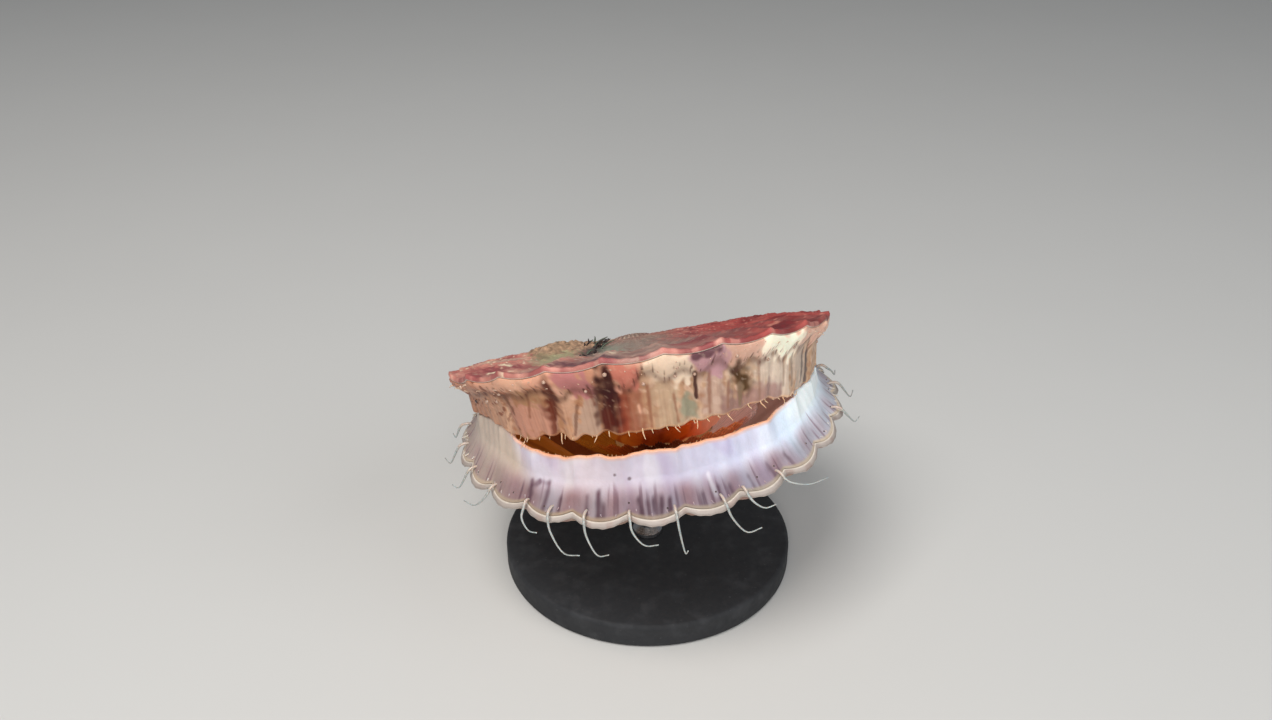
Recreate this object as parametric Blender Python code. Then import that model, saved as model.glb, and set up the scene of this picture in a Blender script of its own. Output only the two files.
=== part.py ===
"""A swimming scallop at life size, caught with its shell agape and held over a round display stand.

Metres, +Z up. The origin is the centre of the stand's underside and the open margin faces -Y.
Each valve and each lobe of the mantle is drawn in its own valve's plane, where the hinge lies on X,
the open margin is at -Y and the other valve is on the inner side. Two empties tilt those planes apart
by the gape, and a third one gives the whole animal its heading, pitch and bank.
"""

import math

import bmesh
import bpy
from mathutils import Euler, Matrix, Vector

MM = 0.001
TOUCH = 0.3 * MM  # what touching pieces keep between them
HINGE_GAP = 0.35 * MM  # from the hinge plane to each valve

# The shell's outline
SHELL_WIDTH = 88 * MM
SHELL_HEIGHT = 80 * MM  # from the hinge to the middle of the open margin
DISC_RADIUS = SHELL_WIDTH / 2
DISC_CENTRE = SHELL_HEIGHT - DISC_RADIUS
FAN_HALF = math.radians(70)
RAY_BEND = 0.24  # how much the outer ribs curve outwards on their way to the margin
SHARES = {"upper": 0.965, "lower": 0.948}  # of the disc that each valve's inner edge fills
FIRST_GROWTH = 0.06  # where the fan starts, as a share of the way from the beak to the margin

# The wall and its ribs
WALL = 1.8 * MM
LIP_THIN = 0.3  # how much of the wall is lost at the open margin
LIP_START = 0.82
LOWER_DEPTH = 18.5 * MM
DEPTH_SKEW = 0.6  # under 1 the deepest place lies nearer the hinge than the margin
UPPER_DIP = 1.8 * MM
RIB_FADE = math.radians(58)  # beyond this ray the ribs fade into the shoulders
RIB_STEP = math.radians(8.8)
RIB_SHIFT = math.radians(-2.5)  # the middle rib's place
LOWER_RIB = 1.5 * MM
UPPER_RIB = 1.3 * MM
STEPS_PER_RIB = 4
SHOULDER_STEPS = (0.0, 0.14, 0.34, 0.64)  # the grid's columns beyond the last rib, as shares of the way in
GROWTH_ROWS = (FIRST_GROWTH, 0.12, 0.22, 0.36, 0.52, 0.68, 0.82, 0.92, 0.97, 1.0)

# The ears either side of the beak
EAR_HALF_LENGTH = 22 * MM
EAR_NOTCH = 1.8 * MM
EAR_REACH = 0.56  # how far down the shoulder an ear's edge meets the fan

# The pose
GAPE = math.radians(22.8)
HEADING = math.radians(4.7)
PITCH = math.radians(-15.5)
BANK = math.radians(-7.2)

# The mantle and its curtains
MANTLE_END = math.radians(65)
MANTLE_SPLITS = (math.radians(14), math.radians(36.5))
CURTAIN_TAPER = math.radians(46)  # beyond this ray the curtains get lower towards the hinge
MANTLE_CUT = math.radians(0.28)
LINING_EDGE = 13 * MM  # how far in from the margin the lining reaches
LINING = 0.95 * MM
FOLD_HEIGHT = 1.3 * MM
CURTAIN_FOOT = 2.8 * MM
CURTAIN_LEVEL = 0.8 * MM  # where the curtain stands on the band, over the valve's plane
CURTAIN_WALL = 1.05 * MM
CURTAIN_LEAN = {"upper": 0.2, "lower": 0.14}
CURTAIN_WAVE = 0.55 * MM
SLIT = 5.2 * MM
SLIT_LEVEL = -1.2 * MM  # the slit's middle, from the plane halfway between the valves
SLIT_RISE = 3.4 * MM  # how much higher the closed left end of the slit lies
SLIT_RISE_START = math.radians(25)
SLIT_RISE_END = math.radians(36)
SLIT_CLOSED = 0.8 * MM
SLIT_INNER = math.radians(17)
SLIT_OUTER = math.radians(32)
EYE_RADIUS = 0.6 * MM

# The soft body between the valves
MUSCLE_RADIUS = 11 * MM
MUSCLE_PLACE = Vector((2.5 * MM, -33 * MM, 0))
GONAD_THICK = 3.4 * MM
GONAD_TALL = 4.6 * MM
GONAD_LEVEL = -6.2 * MM
GONAD_HALF_ANGLE = math.radians(78)
GILL_REACH = 29.5 * MM
GILL_WALL = 1.3 * MM
GILL_FLUTE = 0.5 * MM
GILL_FLUTES = 11
GILL_HALF_ANGLE = math.radians(74)
LIGAMENT_HALF_LENGTH = 17 * MM

# The stand
BASE_RADIUS = 34 * MM
BASE_HEIGHT = 6 * MM
BASE_CHAMFER = 1.2 * MM
ROD_RADIUS = 2.0 * MM
CUP_RADIUS = 6.0 * MM
CUP_HEIGHT = 5.0 * MM
CLEAR_HEIGHT = 13 * MM  # from the base's top to the lowest point of the shell
PERCH = Vector((0, -34 * MM, 0))  # the point of the lower valve that stands over the base's centre

UPPER = "upper"
LOWER = "lower"


# The shell's shape as formulas


def margin_reach(ray):
    """Distance from the beak to the margin along a ray of the fan."""
    across = DISC_CENTRE * math.sin(ray)
    return DISC_CENTRE * math.cos(ray) + math.sqrt(DISC_RADIUS**2 - across**2)


def plane_point(valve, ray, growth):
    """The point of the valve's plane at a ray of the fan and a share of the way out."""
    reach = margin_reach(ray) * growth * SHARES[valve]
    turned = ray * (1 - RAY_BEND + RAY_BEND * growth)
    return Vector((reach * math.sin(turned), -reach * math.cos(turned), 0))


def fan_place(valve, point):
    """The ray and the share of the way out at a point of the valve's plane."""
    turned = math.atan2(point.x, -point.y)
    distance = math.hypot(point.x, point.y)
    ray, growth = turned, 1.0
    for _ in range(12):
        growth = distance / (margin_reach(ray) * SHARES[valve])
        ray = turned / (1 - RAY_BEND + RAY_BEND * growth)
        ray = max(-FAN_HALF, min(FAN_HALF, ray))
    return ray, growth


def rib_wave(ray):
    """1 on the crest of a lower rib and -1 in the groove beside it. The upper ribs lie in those grooves."""
    fade = max(0.0, min(1.0, (FAN_HALF - abs(ray)) / (FAN_HALF - RIB_FADE)))
    return fade * (2 * abs(math.cos(math.pi * (ray - RIB_SHIFT) / RIB_STEP)) ** 0.7 - 1)


def inner_height(valve, ray, growth):
    """Height of the valve's inner face in its own plane."""
    side = ray / FAN_HALF
    if valve == UPPER:
        spread = max(0.0, 1 - side**2)
        return HINGE_GAP - UPPER_DIP * math.sin(math.pi * min(1, growth)) ** 2 * spread
    profile = 1 - (2 * min(1, growth) ** DEPTH_SKEW - 1) ** 2
    spread = max(0.0, 1 - abs(side) ** 2.6) ** 0.55
    return -HINGE_GAP - LOWER_DEPTH * profile * spread


def inner_point(valve, ray, growth):
    """A point of the valve's inner face."""
    point = plane_point(valve, ray, growth)
    point.z = inner_height(valve, ray, growth)
    return point


def inward_normal(valve, ray, growth):
    """The inner face's normal, pointing into the shell's hollow."""
    step = 0.01
    near = min(max(growth, 0.03), 0.985)
    side = max(-FAN_HALF + 0.02, min(FAN_HALF - 0.02, ray))
    out = inner_point(valve, side, near + step) - inner_point(valve, side, near - step)
    round_ = inner_point(valve, side + step, near) - inner_point(valve, side - step, near)
    normal = out.cross(round_).normalized()
    inside = -1 if valve == UPPER else 1
    return normal if normal.z * inside > 0 else -normal


def outer_point(valve, ray, growth, wall=WALL):
    """A point of the valve's ribbed outer face."""
    outward = -inward_normal(valve, ray, growth)
    if valve == UPPER:
        rib, wave = UPPER_RIB, -rib_wave(ray)
    else:
        rib, wave = LOWER_RIB, rib_wave(ray)
    lift = rib * growth**1.1 * (0.5 + 0.5 * wave)
    thin = 1 - LIP_THIN * max(0.0, growth - LIP_START) / (1 - LIP_START)
    point = inner_point(valve, ray, growth) + outward * (wall * thin + lift)
    away = plane_point(valve, ray, 1.0).normalized()
    return point + away * (0.45 * rib * wave * growth**4)


def fan_rays():
    """The rays of a valve's grid, a few to each rib and wider steps over the smooth shoulders."""
    step = RIB_STEP / STEPS_PER_RIB
    reach = int(RIB_FADE / step)
    ribbed = [RIB_SHIFT + step * i for i in range(-reach + 1, reach + 2)]
    left = [-FAN_HALF + (ribbed[0] + FAN_HALF) * share for share in SHOULDER_STEPS]
    right = [FAN_HALF - (FAN_HALF - ribbed[-1]) * share for share in reversed(SHOULDER_STEPS)]
    return [*left, *ribbed, *right]


# Mesh helpers


def new_object(name, mesh, parent=None):
    """Links an object for the mesh, under its parent empty."""
    obj = bpy.data.objects.new(name, mesh)
    bpy.context.scene.collection.objects.link(obj)
    obj.parent = parent
    return obj


def grid_solid(name, front, back, parent=None):
    """One closed body between two grids of points with the same rows and columns."""
    rows, columns = len(front), len(front[0])
    made = bmesh.new()
    sheets = [[[made.verts.new(p) for p in row] for row in sheet] for sheet in (front, back)]
    for sheet in sheets:
        for i in range(rows - 1):
            for j in range(columns - 1):
                made.faces.new((sheet[i][j], sheet[i][j + 1], sheet[i + 1][j + 1], sheet[i + 1][j]))
    edge = [(0, j) for j in range(columns)]
    edge += [(i, columns - 1) for i in range(1, rows)]
    edge += [(rows - 1, j) for j in range(columns - 2, -1, -1)]
    edge += [(i, 0) for i in range(rows - 2, 0, -1)]
    for (i, j), (k, m) in zip(edge, edge[1:] + edge[:1]):
        made.faces.new((sheets[0][i][j], sheets[0][k][m], sheets[1][k][m], sheets[1][i][j]))
    return finished(name, made, parent)


def swept_solid(name, sections, parent=None):
    """One closed body through a row of closed outlines with the same number of points."""
    made = bmesh.new()
    rings = [[made.verts.new(p) for p in section] for section in sections]
    count = len(rings[0])
    for ring, after in zip(rings, rings[1:]):
        for j in range(count):
            k = (j + 1) % count
            made.faces.new((ring[j], ring[k], after[k], after[j]))
    made.faces.new(rings[0])
    made.faces.new(rings[-1])
    return finished(name, made, parent)


def finished(name, made, parent):
    """Closes the mesh work: triangles that match on both faces, faces out, smooth shading."""
    made.normal_update()
    bmesh.ops.triangulate(made, faces=made.faces, quad_method="FIXED", ngon_method="EAR_CLIP")
    bmesh.ops.recalc_face_normals(made, faces=made.faces)
    mesh = bpy.data.meshes.new(name)
    made.to_mesh(mesh)
    made.free()
    mesh.shade_smooth()
    mesh.set_sharp_from_angle(angle=math.radians(50))
    return new_object(name, mesh, parent)


def tapered_spine(name, path, root_radius, tip_radius, sides, parent=None):
    """A round, tapering body along a path of points."""
    points = [Vector(p) for p in path]
    sections = []
    aside = None
    for i, point in enumerate(points):
        along = (points[min(i + 1, len(points) - 1)] - points[max(i - 1, 0)]).normalized()
        if aside is None:
            aside = along.orthogonal().normalized()
        aside = (aside - along * aside.dot(along)).normalized()
        across = along.cross(aside)
        share = i / (len(points) - 1)
        radius = root_radius + (tip_radius - root_radius) * share
        turns = [2 * math.pi * k / sides for k in range(sides)]
        sections.append([point + (aside * math.cos(a) + across * math.sin(a)) * radius for a in turns])
    return swept_solid(name, sections, parent)


def apply_boolean(target, operation, others):
    """Applies one Boolean on a collection of closed bodies, then removes them."""
    held = bpy.data.collections.new(target.name + "_tools")
    bpy.context.scene.collection.children.link(held)
    for other in others:
        held.objects.link(other)
    bpy.context.view_layer.update()
    change = target.modifiers.new(operation.lower(), "BOOLEAN")
    change.operation = operation
    change.operand_type = "COLLECTION"
    change.collection = held
    change.solver = "EXACT"
    graph = bpy.context.evaluated_depsgraph_get()
    mesh = bpy.data.meshes.new_from_object(target.evaluated_get(graph))
    target.modifiers.clear()
    target.data = mesh
    for other in others:
        bpy.data.objects.remove(other)
    bpy.data.collections.remove(held)
    keep_largest(target)


def keep_largest(target):
    """Keeps only the mesh's largest closed surface."""
    work = bmesh.new()
    work.from_mesh(target.data)
    unseen = set(work.faces)
    shells = []
    while unseen:
        shell, edge = set(), [unseen.pop()]
        while edge:
            face = edge.pop()
            shell.add(face)
            for line in face.edges:
                for near in line.link_faces:
                    if near in unseen:
                        unseen.remove(near)
                        edge.append(near)
        shells.append(shell)
    shells.sort(key=lambda faces: sum(face.calc_area() for face in faces))
    loose = [face for shell in shells[:-1] for face in shell]
    bmesh.ops.delete(work, geom=loose, context="FACES")
    bmesh.ops.triangulate(work, faces=work.faces)
    work.to_mesh(target.data)
    work.free()


def material(name, colour, roughness, metallic=0.0):
    """A plain surface of one colour."""
    made = bpy.data.materials.new(name)
    made.use_nodes = True
    surface = made.node_tree.nodes["Principled BSDF"]
    surface.inputs["Base Color"].default_value = (*colour, 1)
    surface.inputs["Roughness"].default_value = roughness
    surface.inputs["Metallic"].default_value = metallic
    return made


# The valves


def valve_grids(valve, wall=WALL):
    """The inner and outer faces of a valve's fan, as grids of points."""
    rays = fan_rays()
    inner = [[inner_point(valve, ray, growth) for ray in rays] for growth in GROWTH_ROWS]
    outer = [[outer_point(valve, ray, growth, wall) for ray in rays] for growth in GROWTH_ROWS]
    return inner, outer


def ear_outline(side):
    """The outline of one ear in the valve's plane: the hinge line, the side edge and the shoulder."""
    middle_wall = 0.5 * WALL
    shoulder = []
    for growth in (0.09, 0.2, 0.32, 0.44, EAR_REACH):
        point = plane_point(LOWER, FAN_HALF, growth)
        square = Vector((-point.y, point.x, 0)).normalized()
        shoulder.append(point + square * middle_wall)
    hinge_end = Vector((EAR_HALF_LENGTH, 0, 0))
    foot = shoulder[-1]
    edge = []
    for share in (0.75, 0.5, 0.25):
        point = hinge_end.lerp(foot, share)
        point.x -= EAR_NOTCH * math.sin(math.pi * share)
        edge.append(point)
    inner_end = Vector((-1.5 * MM, 0, 0))
    outline = [inner_end, *shoulder, *edge, hinge_end]
    return [Vector((side * p.x, p.y, 0)) for p in outline]


def ear(name, valve, side):
    """One ear, a flat plate whose inner edge is sunk in the wall of the fan's shoulder."""
    outline = ear_outline(side)
    if valve == UPPER:
        levels = (HINGE_GAP, HINGE_GAP + 0.85 * WALL)
    else:
        levels = (-HINGE_GAP - 0.85 * WALL, -HINGE_GAP)
    return swept_solid(name, [[p + Vector((0, 0, z)) for p in outline] for z in levels])


def rounded_lump(name, place, size):
    """A rounded lump, an egg shape of the given half sizes."""
    made = bmesh.new()
    bmesh.ops.create_icosphere(made, subdivisions=2, radius=1)
    bmesh.ops.scale(made, vec=size, verts=made.verts)
    bmesh.ops.translate(made, vec=place, verts=made.verts)
    return finished(name, made, None)


def make_valve(name, valve, parent, finish):
    """A whole valve: the ribbed fan with its two ears, in one piece."""
    inner, outer = valve_grids(valve)
    shell = grid_solid(name, inner, outer, parent)
    joined = [ear(name + "_ear", valve, side) for side in (-1, 1)]
    if valve == UPPER:
        top = HINGE_GAP + WALL
        joined.append(rounded_lump("beak", (0, -3.4 * MM, top - 0.4 * MM), (5.0 * MM, 3.2 * MM, 1.1 * MM)))
        joined.append(rounded_lump("crust_a", (-15 * MM, -10.5 * MM, top), (6.5 * MM, 4.6 * MM, 1.9 * MM)))
        joined.append(rounded_lump("crust_b", (-8.5 * MM, -13 * MM, top - 0.4 * MM), (4.6 * MM, 4 * MM, 2.2 * MM)))
    else:
        joined.append(rounded_lump("beak", (0, -3.4 * MM, -5.1 * MM), (6.2 * MM, 4.6 * MM, 4.6 * MM)))
    for piece in joined:
        piece.parent = parent
    apply_boolean(shell, "UNION", joined)
    shell.data.materials.append(finish)
    return shell


def hollow_mould(valve, parent):
    """A block that fills all space from just inside a valve's inner face outwards, for cutting what lies inside."""
    inside = -1 if valve == UPPER else 1
    rays = fan_rays()
    near = []
    for growth in GROWTH_ROWS:
        row = [inner_point(valve, ray, growth) + inward_normal(valve, ray, growth) * TOUCH for ray in rays]
        near.append(row)
    far = [[Vector((p.x, p.y, -inside * 60 * MM)) for p in row] for row in near]
    return grid_solid("mould", near, far, parent)


# The mantle


def slit_at(ray):
    """Height of the slit between the two curtains."""
    share = (abs(ray) - SLIT_INNER) / (SLIT_OUTER - SLIT_INNER)
    share = min(1.0, max(0.0, share))
    smooth = share * share * (3 - 2 * share)
    return SLIT + (SLIT_CLOSED - SLIT) * smooth


def slit_level(ray):
    """Level of the slit's middle, higher at its left end."""
    share = (-ray - SLIT_RISE_START) / (SLIT_RISE_END - SLIT_RISE_START)
    share = min(1.0, max(0.0, share))
    return SLIT_LEVEL + SLIT_RISE * share * share * (3 - 2 * share)


def mantle_point(valve, ray, inset, height):
    """A point by its distance in from the margin and its height over the valve's plane."""
    edge = plane_point(valve, ray, 1.0)
    inward = (Vector((0, -DISC_CENTRE * SHARES[valve], 0)) - edge).normalized()
    point = edge + inward * inset
    point.z = -height if valve == UPPER else height
    return point


def lining_point(valve, ray, inset, lift):
    """A point straight over the shell's inner face, the lift measured square to that face."""
    point = mantle_point(valve, ray, inset, 0)
    place = fan_place(valve, point)
    upright = max(0.35, abs(inward_normal(valve, *place).z))
    inside = -1 if valve == UPPER else 1
    point.z = inner_height(valve, *place) + inside * lift / upright
    return point


def curtain_height(valve, ray):
    """Height of the curtain's tip over the valve's plane, so that both curtains stop at the slit."""
    point = mantle_point(valve, ray, 1.6 * CURTAIN_FOOT, 0)
    share = max(0.0, (abs(ray) - CURTAIN_TAPER) / (MANTLE_END - CURTAIN_TAPER))
    shift = -slit_level(ray) if valve == UPPER else slit_level(ray)
    whole = -point.y * math.tan(GAPE / 2) + shift * (1 - share) - slit_at(ray) / 2
    return whole * (1 - 0.45 * share**1.5)


def band_section(valve, ray):
    """The outline of the band that lines the shell's edge and carries the fold, at one ray."""
    foot = CURTAIN_FOOT + 2.0 * MM
    middle = (foot + LINING_EDGE) / 2
    under = [lining_point(valve, ray, inset, TOUCH) for inset in (0.4 * MM, 2.3 * MM, foot, middle, LINING_EDGE)]
    over = [lining_point(valve, ray, inset, TOUCH + LINING) for inset in (LINING_EDGE, middle)]
    top = [
        mantle_point(valve, ray, CURTAIN_FOOT + 2.2 * MM, CURTAIN_LEVEL - TOUCH),
        mantle_point(valve, ray, CURTAIN_FOOT - 0.2 * MM, CURTAIN_LEVEL - TOUCH),
        mantle_point(valve, ray, 2.1 * MM, 0.85 * FOLD_HEIGHT),
        mantle_point(valve, ray, 1.4 * MM, FOLD_HEIGHT),
        mantle_point(valve, ray, 0.7 * MM, 0.75 * FOLD_HEIGHT),
    ]
    return [*under, *over, *top]


def curtain_section(valve, ray):
    """The outline of the curtain at one ray, from its foot on the band to its edge at the slit."""
    tall = curtain_height(valve, ray)
    sway = CURTAIN_WAVE * rib_wave(ray)
    inner_face, outer_face = [], []
    for share, wall in ((0.0, 1.35), (0.5, 1.0), (0.93, 0.75)):
        level = CURTAIN_LEVEL + (tall - CURTAIN_LEVEL) * share
        inset = CURTAIN_FOOT + CURTAIN_LEAN[valve] * tall * share + sway * share
        inner_face.append(mantle_point(valve, ray, inset + wall * CURTAIN_WALL, level))
        outer_face.insert(0, mantle_point(valve, ray, inset, level))
    tip = mantle_point(valve, ray, CURTAIN_FOOT + CURTAIN_LEAN[valve] * tall + sway + 0.4 * MM, tall)
    return [*inner_face, tip, *outer_face]


def sector_rays(start, end):
    """The shell's own rays inside a sector, and the sector's two ends."""
    margin = math.radians(0.5)
    within = [ray for ray in fan_rays() if start + margin < ray < end - margin]
    return [start, *within, end]


def smooth_path(points, count):
    """Points along a smooth curve that starts and ends at the outer points given."""
    ctrl = [Vector(p) for p in points]
    ends = [ctrl[0] * 2 - ctrl[1], *ctrl, ctrl[-1] * 2 - ctrl[-2]]
    path = []
    for i in range(count):
        place = i / (count - 1) * (len(ctrl) - 1)
        part = min(int(place), len(ctrl) - 2)
        t = place - part
        a, b, c, d = ends[part : part + 4]
        path.append(0.5 * (2 * b + (c - a) * t + (2 * a - 5 * b + 4 * c - d) * t**2 + (3 * b - a - 3 * c + d) * t**3))
    return path


def long_tentacle(valve, ray, out, fall, drift):
    """A tentacle that bends over the shell's edge, hangs down and hooks up at its tip, drifting round the margin."""
    over = 3.0 * MM
    low = -0.8 * MM
    steps = [
        (0.0, 1.3 * MM, 0.3 * MM),
        (0.0, 0.7 * MM, FOLD_HEIGHT + 0.3 * MM),
        (0.0, -1.0 * MM, FOLD_HEIGHT - 0.2 * MM),
        (0.03, 0.3 * MM - over, low),
        (0.12, -over - 0.2 * out, low - 0.45 * fall),
        (0.5, -over - 0.6 * out, low - fall),
        (1.0, -over - out, low - 0.85 * fall),
    ]
    turn = drift / margin_reach(ray)
    points = [mantle_point(valve, ray + turn * share, inset, height) for share, inset, height in steps]
    return tapered_spine("tentacle", smooth_path(points, 9), 0.5 * MM, 0.22 * MM, 5)


def edge_tentacle(valve, ray, length, drift):
    """A short tentacle on the edge of a curtain, hanging into the slit."""
    tall = curtain_height(valve, ray)
    inset = CURTAIN_FOOT + CURTAIN_LEAN[valve] * tall + CURTAIN_WAVE * rib_wave(ray) + 0.4 * MM
    turn = drift / margin_reach(ray)
    points = [
        mantle_point(valve, ray, inset, tall - 1.0 * MM),
        mantle_point(valve, ray, inset - 0.2 * MM, tall + 0.2 * length),
        mantle_point(valve, ray + 0.4 * turn, inset - 0.7 * MM, tall + 0.6 * length),
        mantle_point(valve, ray + turn, inset - 1.0 * MM, tall + length),
    ]
    return tapered_spine("edge_tentacle", smooth_path(points, 5), 0.42 * MM, 0.2 * MM, 5)


def eye_bead(valve, ray):
    """An eye, a round bead half sunk in the top of the fold."""
    made = bmesh.new()
    bmesh.ops.create_icosphere(made, subdivisions=1, radius=EYE_RADIUS)
    bmesh.ops.translate(made, vec=mantle_point(valve, ray, 1.2 * MM, FOLD_HEIGHT + 0.05 * MM), verts=made.verts)
    return finished("eye", made, None)


# Ray in degrees, reach out, fall and sideways drift in millimetres of the long tentacles that show at the front
FRONT_TENTACLES = (
    (-31.9, 2.6, 3.0, -4.5),
    (-23.9, 1.4, 3.3, 4.8),
    (-19.0, 3.2, 6.2, 7.6),
    (-13.2, 2.6, 6.2, 5.2),
    (-6.5, 2.8, 4.0, 5.3),
    (0.3, 2.4, 7.2, 1.0),
    (7.5, 3.6, 5.7, 5.0),
    (11.3, 2.2, 2.5, 4.0),
    (17.8, 4.4, 1.6, 6.5),
)
# The same numbers of those that stand on both sides
SIDE_TENTACLES = ((39.5, 2.4, 3.4, 2.2), (48.5, 2.8, 4.2, 2.6), (56.0, 2.0, 3.0, 1.8))
# Ray in degrees, length and sideways drift in millimetres of the short tentacles on the upper curtain
EDGE_TENTACLES = (
    (-26, 2.6, -1.0),
    (-17.5, 2.2, 0.5),
    (-11, 1.9, -0.6),
    (-3, 2.3, 0.4),
    (2.5, 1.8, 0.8),
    (6.5, 2.1, -0.5),
    (12, 2.3, 0.7),
    (19, 2.0, 0.5),
    (25.5, 1.9, -0.8),
)


def within(degrees, start, end):
    """Whether a ray in degrees lies well inside a sector."""
    inside = math.radians(0.9)
    return start + inside < math.radians(degrees) < end - inside


def band_growths(valve, start, end):
    """The eyes, and on the lower lobe the long tentacles, that grow on one sector of the band."""
    made = []
    if valve == LOWER:
        both = [(side * ray, *sizes, side * drift) for ray, *sizes, drift in SIDE_TENTACLES for side in (-1, 1)]
        for ray, *sizes in (*FRONT_TENTACLES, *both):
            if within(ray, start, end):
                made.append(long_tentacle(valve, math.radians(ray), *(size * MM for size in sizes)))
    for k in range(-7, 8):
        ray = RIB_SHIFT + k * RIB_STEP
        if within(math.degrees(ray), start, end):
            made.append(eye_bead(valve, ray))
    return made


def curtain_growths(valve, start, end):
    """The short tentacles on the edge of one sector of the upper curtain."""
    made = []
    if valve == UPPER:
        for ray, length, drift in EDGE_TENTACLES:
            if within(ray, start, end):
                made.append(edge_tentacle(valve, math.radians(ray), length * MM, drift * MM))
    return made


def make_mantle(valve, parent, finish):
    """A lobe of the mantle, its band and its curtain each in five sectors round the margin."""
    near, far = MANTLE_SPLITS
    sectors = {
        "far_left": (-MANTLE_END, -far - MANTLE_CUT),
        "left": (-far, -near - MANTLE_CUT),
        "front": (-near, near),
        "right": (near + MANTLE_CUT, far),
        "far_right": (far + MANTLE_CUT, MANTLE_END),
    }
    layers = {"mantle": (band_section, band_growths), "velum": (curtain_section, curtain_growths)}
    for layer, (section, growths) in layers.items():
        for place, (start, end) in sectors.items():
            sections = [section(valve, ray) for ray in sector_rays(start, end)]
            lobe = swept_solid(f"{layer}_{valve}_{place}", sections, parent)
            grown = growths(valve, start, end)
            for piece in grown:
                piece.parent = parent
            if grown:
                apply_boolean(lobe, "UNION", grown)
            lobe.data.materials.append(finish)


# The soft body


def make_muscle(parent, moulds, finish):
    """The big muscle that joins the valves, an upright oval column cut to fit both inner faces."""
    made = bmesh.new()
    bmesh.ops.create_cone(
        made, cap_ends=True, segments=28, radius1=MUSCLE_RADIUS, radius2=MUSCLE_RADIUS, depth=80 * MM
    )
    bmesh.ops.translate(made, vec=MUSCLE_PLACE, verts=made.verts)
    column = finished("adductor_muscle", made, parent)
    apply_boolean(column, "DIFFERENCE", moulds)
    column.data.materials.append(finish)


def round_muscle(angle, distance, height):
    """A point round the muscle's axis. Angle 0 is the front."""
    return MUSCLE_PLACE + Vector((distance * math.sin(angle), -distance * math.cos(angle), height))


def make_gonad(parent, finish):
    """The gonad, a curved tongue round the front of the muscle, its inner side fitted to the muscle."""
    sections = []
    steps = 16
    for i in range(steps + 1):
        share = 2 * i / steps - 1
        angle = GONAD_HALF_ANGLE * share
        swell = max(0.16, (1 - abs(share) ** 2.6) ** 0.5)
        middle = MUSCLE_RADIUS + TOUCH + GONAD_THICK * swell * 0.9
        section = []
        for k in range(10):
            turn = 2 * math.pi * k / 10
            distance = middle + GONAD_THICK * swell * math.cos(turn)
            distance = max(distance, MUSCLE_RADIUS + TOUCH)
            section.append(round_muscle(angle, distance, GONAD_LEVEL + GONAD_TALL * swell * math.sin(turn)))
        sections.append(section)
    tongue = swept_solid("gonad", sections, parent)
    tongue.data.materials.append(finish)


def make_gill(name, root_level, edge_level, parent, finish):
    """A gill, a fluted crescent that spreads round the muscle towards the slit."""
    top, bottom = [], []
    columns = 2 * GILL_FLUTES
    for row in range(6):
        share = row / 5
        upper_row, lower_row = [], []
        for i in range(columns + 1):
            side = 2 * i / columns - 1
            reach = (GILL_REACH - MUSCLE_RADIUS) * (1 - abs(side) ** 2.5) ** 0.5 * share
            distance = MUSCLE_RADIUS + TOUCH + 0.15 * MM + max(reach, 1.6 * MM * share)
            flute = GILL_FLUTE * (0.3 + 0.7 * share) * (1 if i % 2 else -1)
            level = root_level + (edge_level - root_level) * share**1.4 + flute
            half = GILL_WALL * (0.5 if row < 5 else 0.3)
            point = round_muscle(GILL_HALF_ANGLE * side, distance, level)
            upper_row.append(point + Vector((0, 0, half)))
            lower_row.append(point - Vector((0, 0, half)))
        top.append(upper_row)
        bottom.append(lower_row)
    gill = grid_solid(name, top, bottom, parent)
    gill.data.materials.append(finish)


def make_ligament(parent, finish):
    """The dark ligament, a wedge in the angle between the valves along the hinge."""
    outline = []
    for y in (-1.4 * MM, -3.6 * MM):
        half = HINGE_GAP - y * math.tan(GAPE / 2) - TOUCH / math.cos(GAPE / 2)
        outline.append((y, half))
    (back, thin), (front, thick) = outline
    corners = [(back, -thin), (front, -thick), (front, thick), (back, thin)]
    ends = (-LIGAMENT_HALF_LENGTH, LIGAMENT_HALF_LENGTH)
    wedge = swept_solid("hinge_ligament", [[Vector((x, y, z)) for y, z in corners] for x in ends], parent)
    wedge.data.materials.append(finish)


# The stand


def turned(name, profile, segments, parent=None):
    """A solid turned about Z from a profile of radius and height that starts and ends on the axis."""
    made = bmesh.new()
    corners = [made.verts.new((r, 0, z)) for r, z in profile]
    edges = [made.edges.new(pair) for pair in zip(corners, corners[1:])]
    bmesh.ops.spin(
        made, geom=corners + edges, axis=(0, 0, 1), cent=(0, 0, 0), steps=segments, angle=2 * math.pi, use_merge=True
    )
    bmesh.ops.remove_doubles(made, verts=made.verts, dist=0.01 * MM)
    return finished(name, made, parent)


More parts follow.
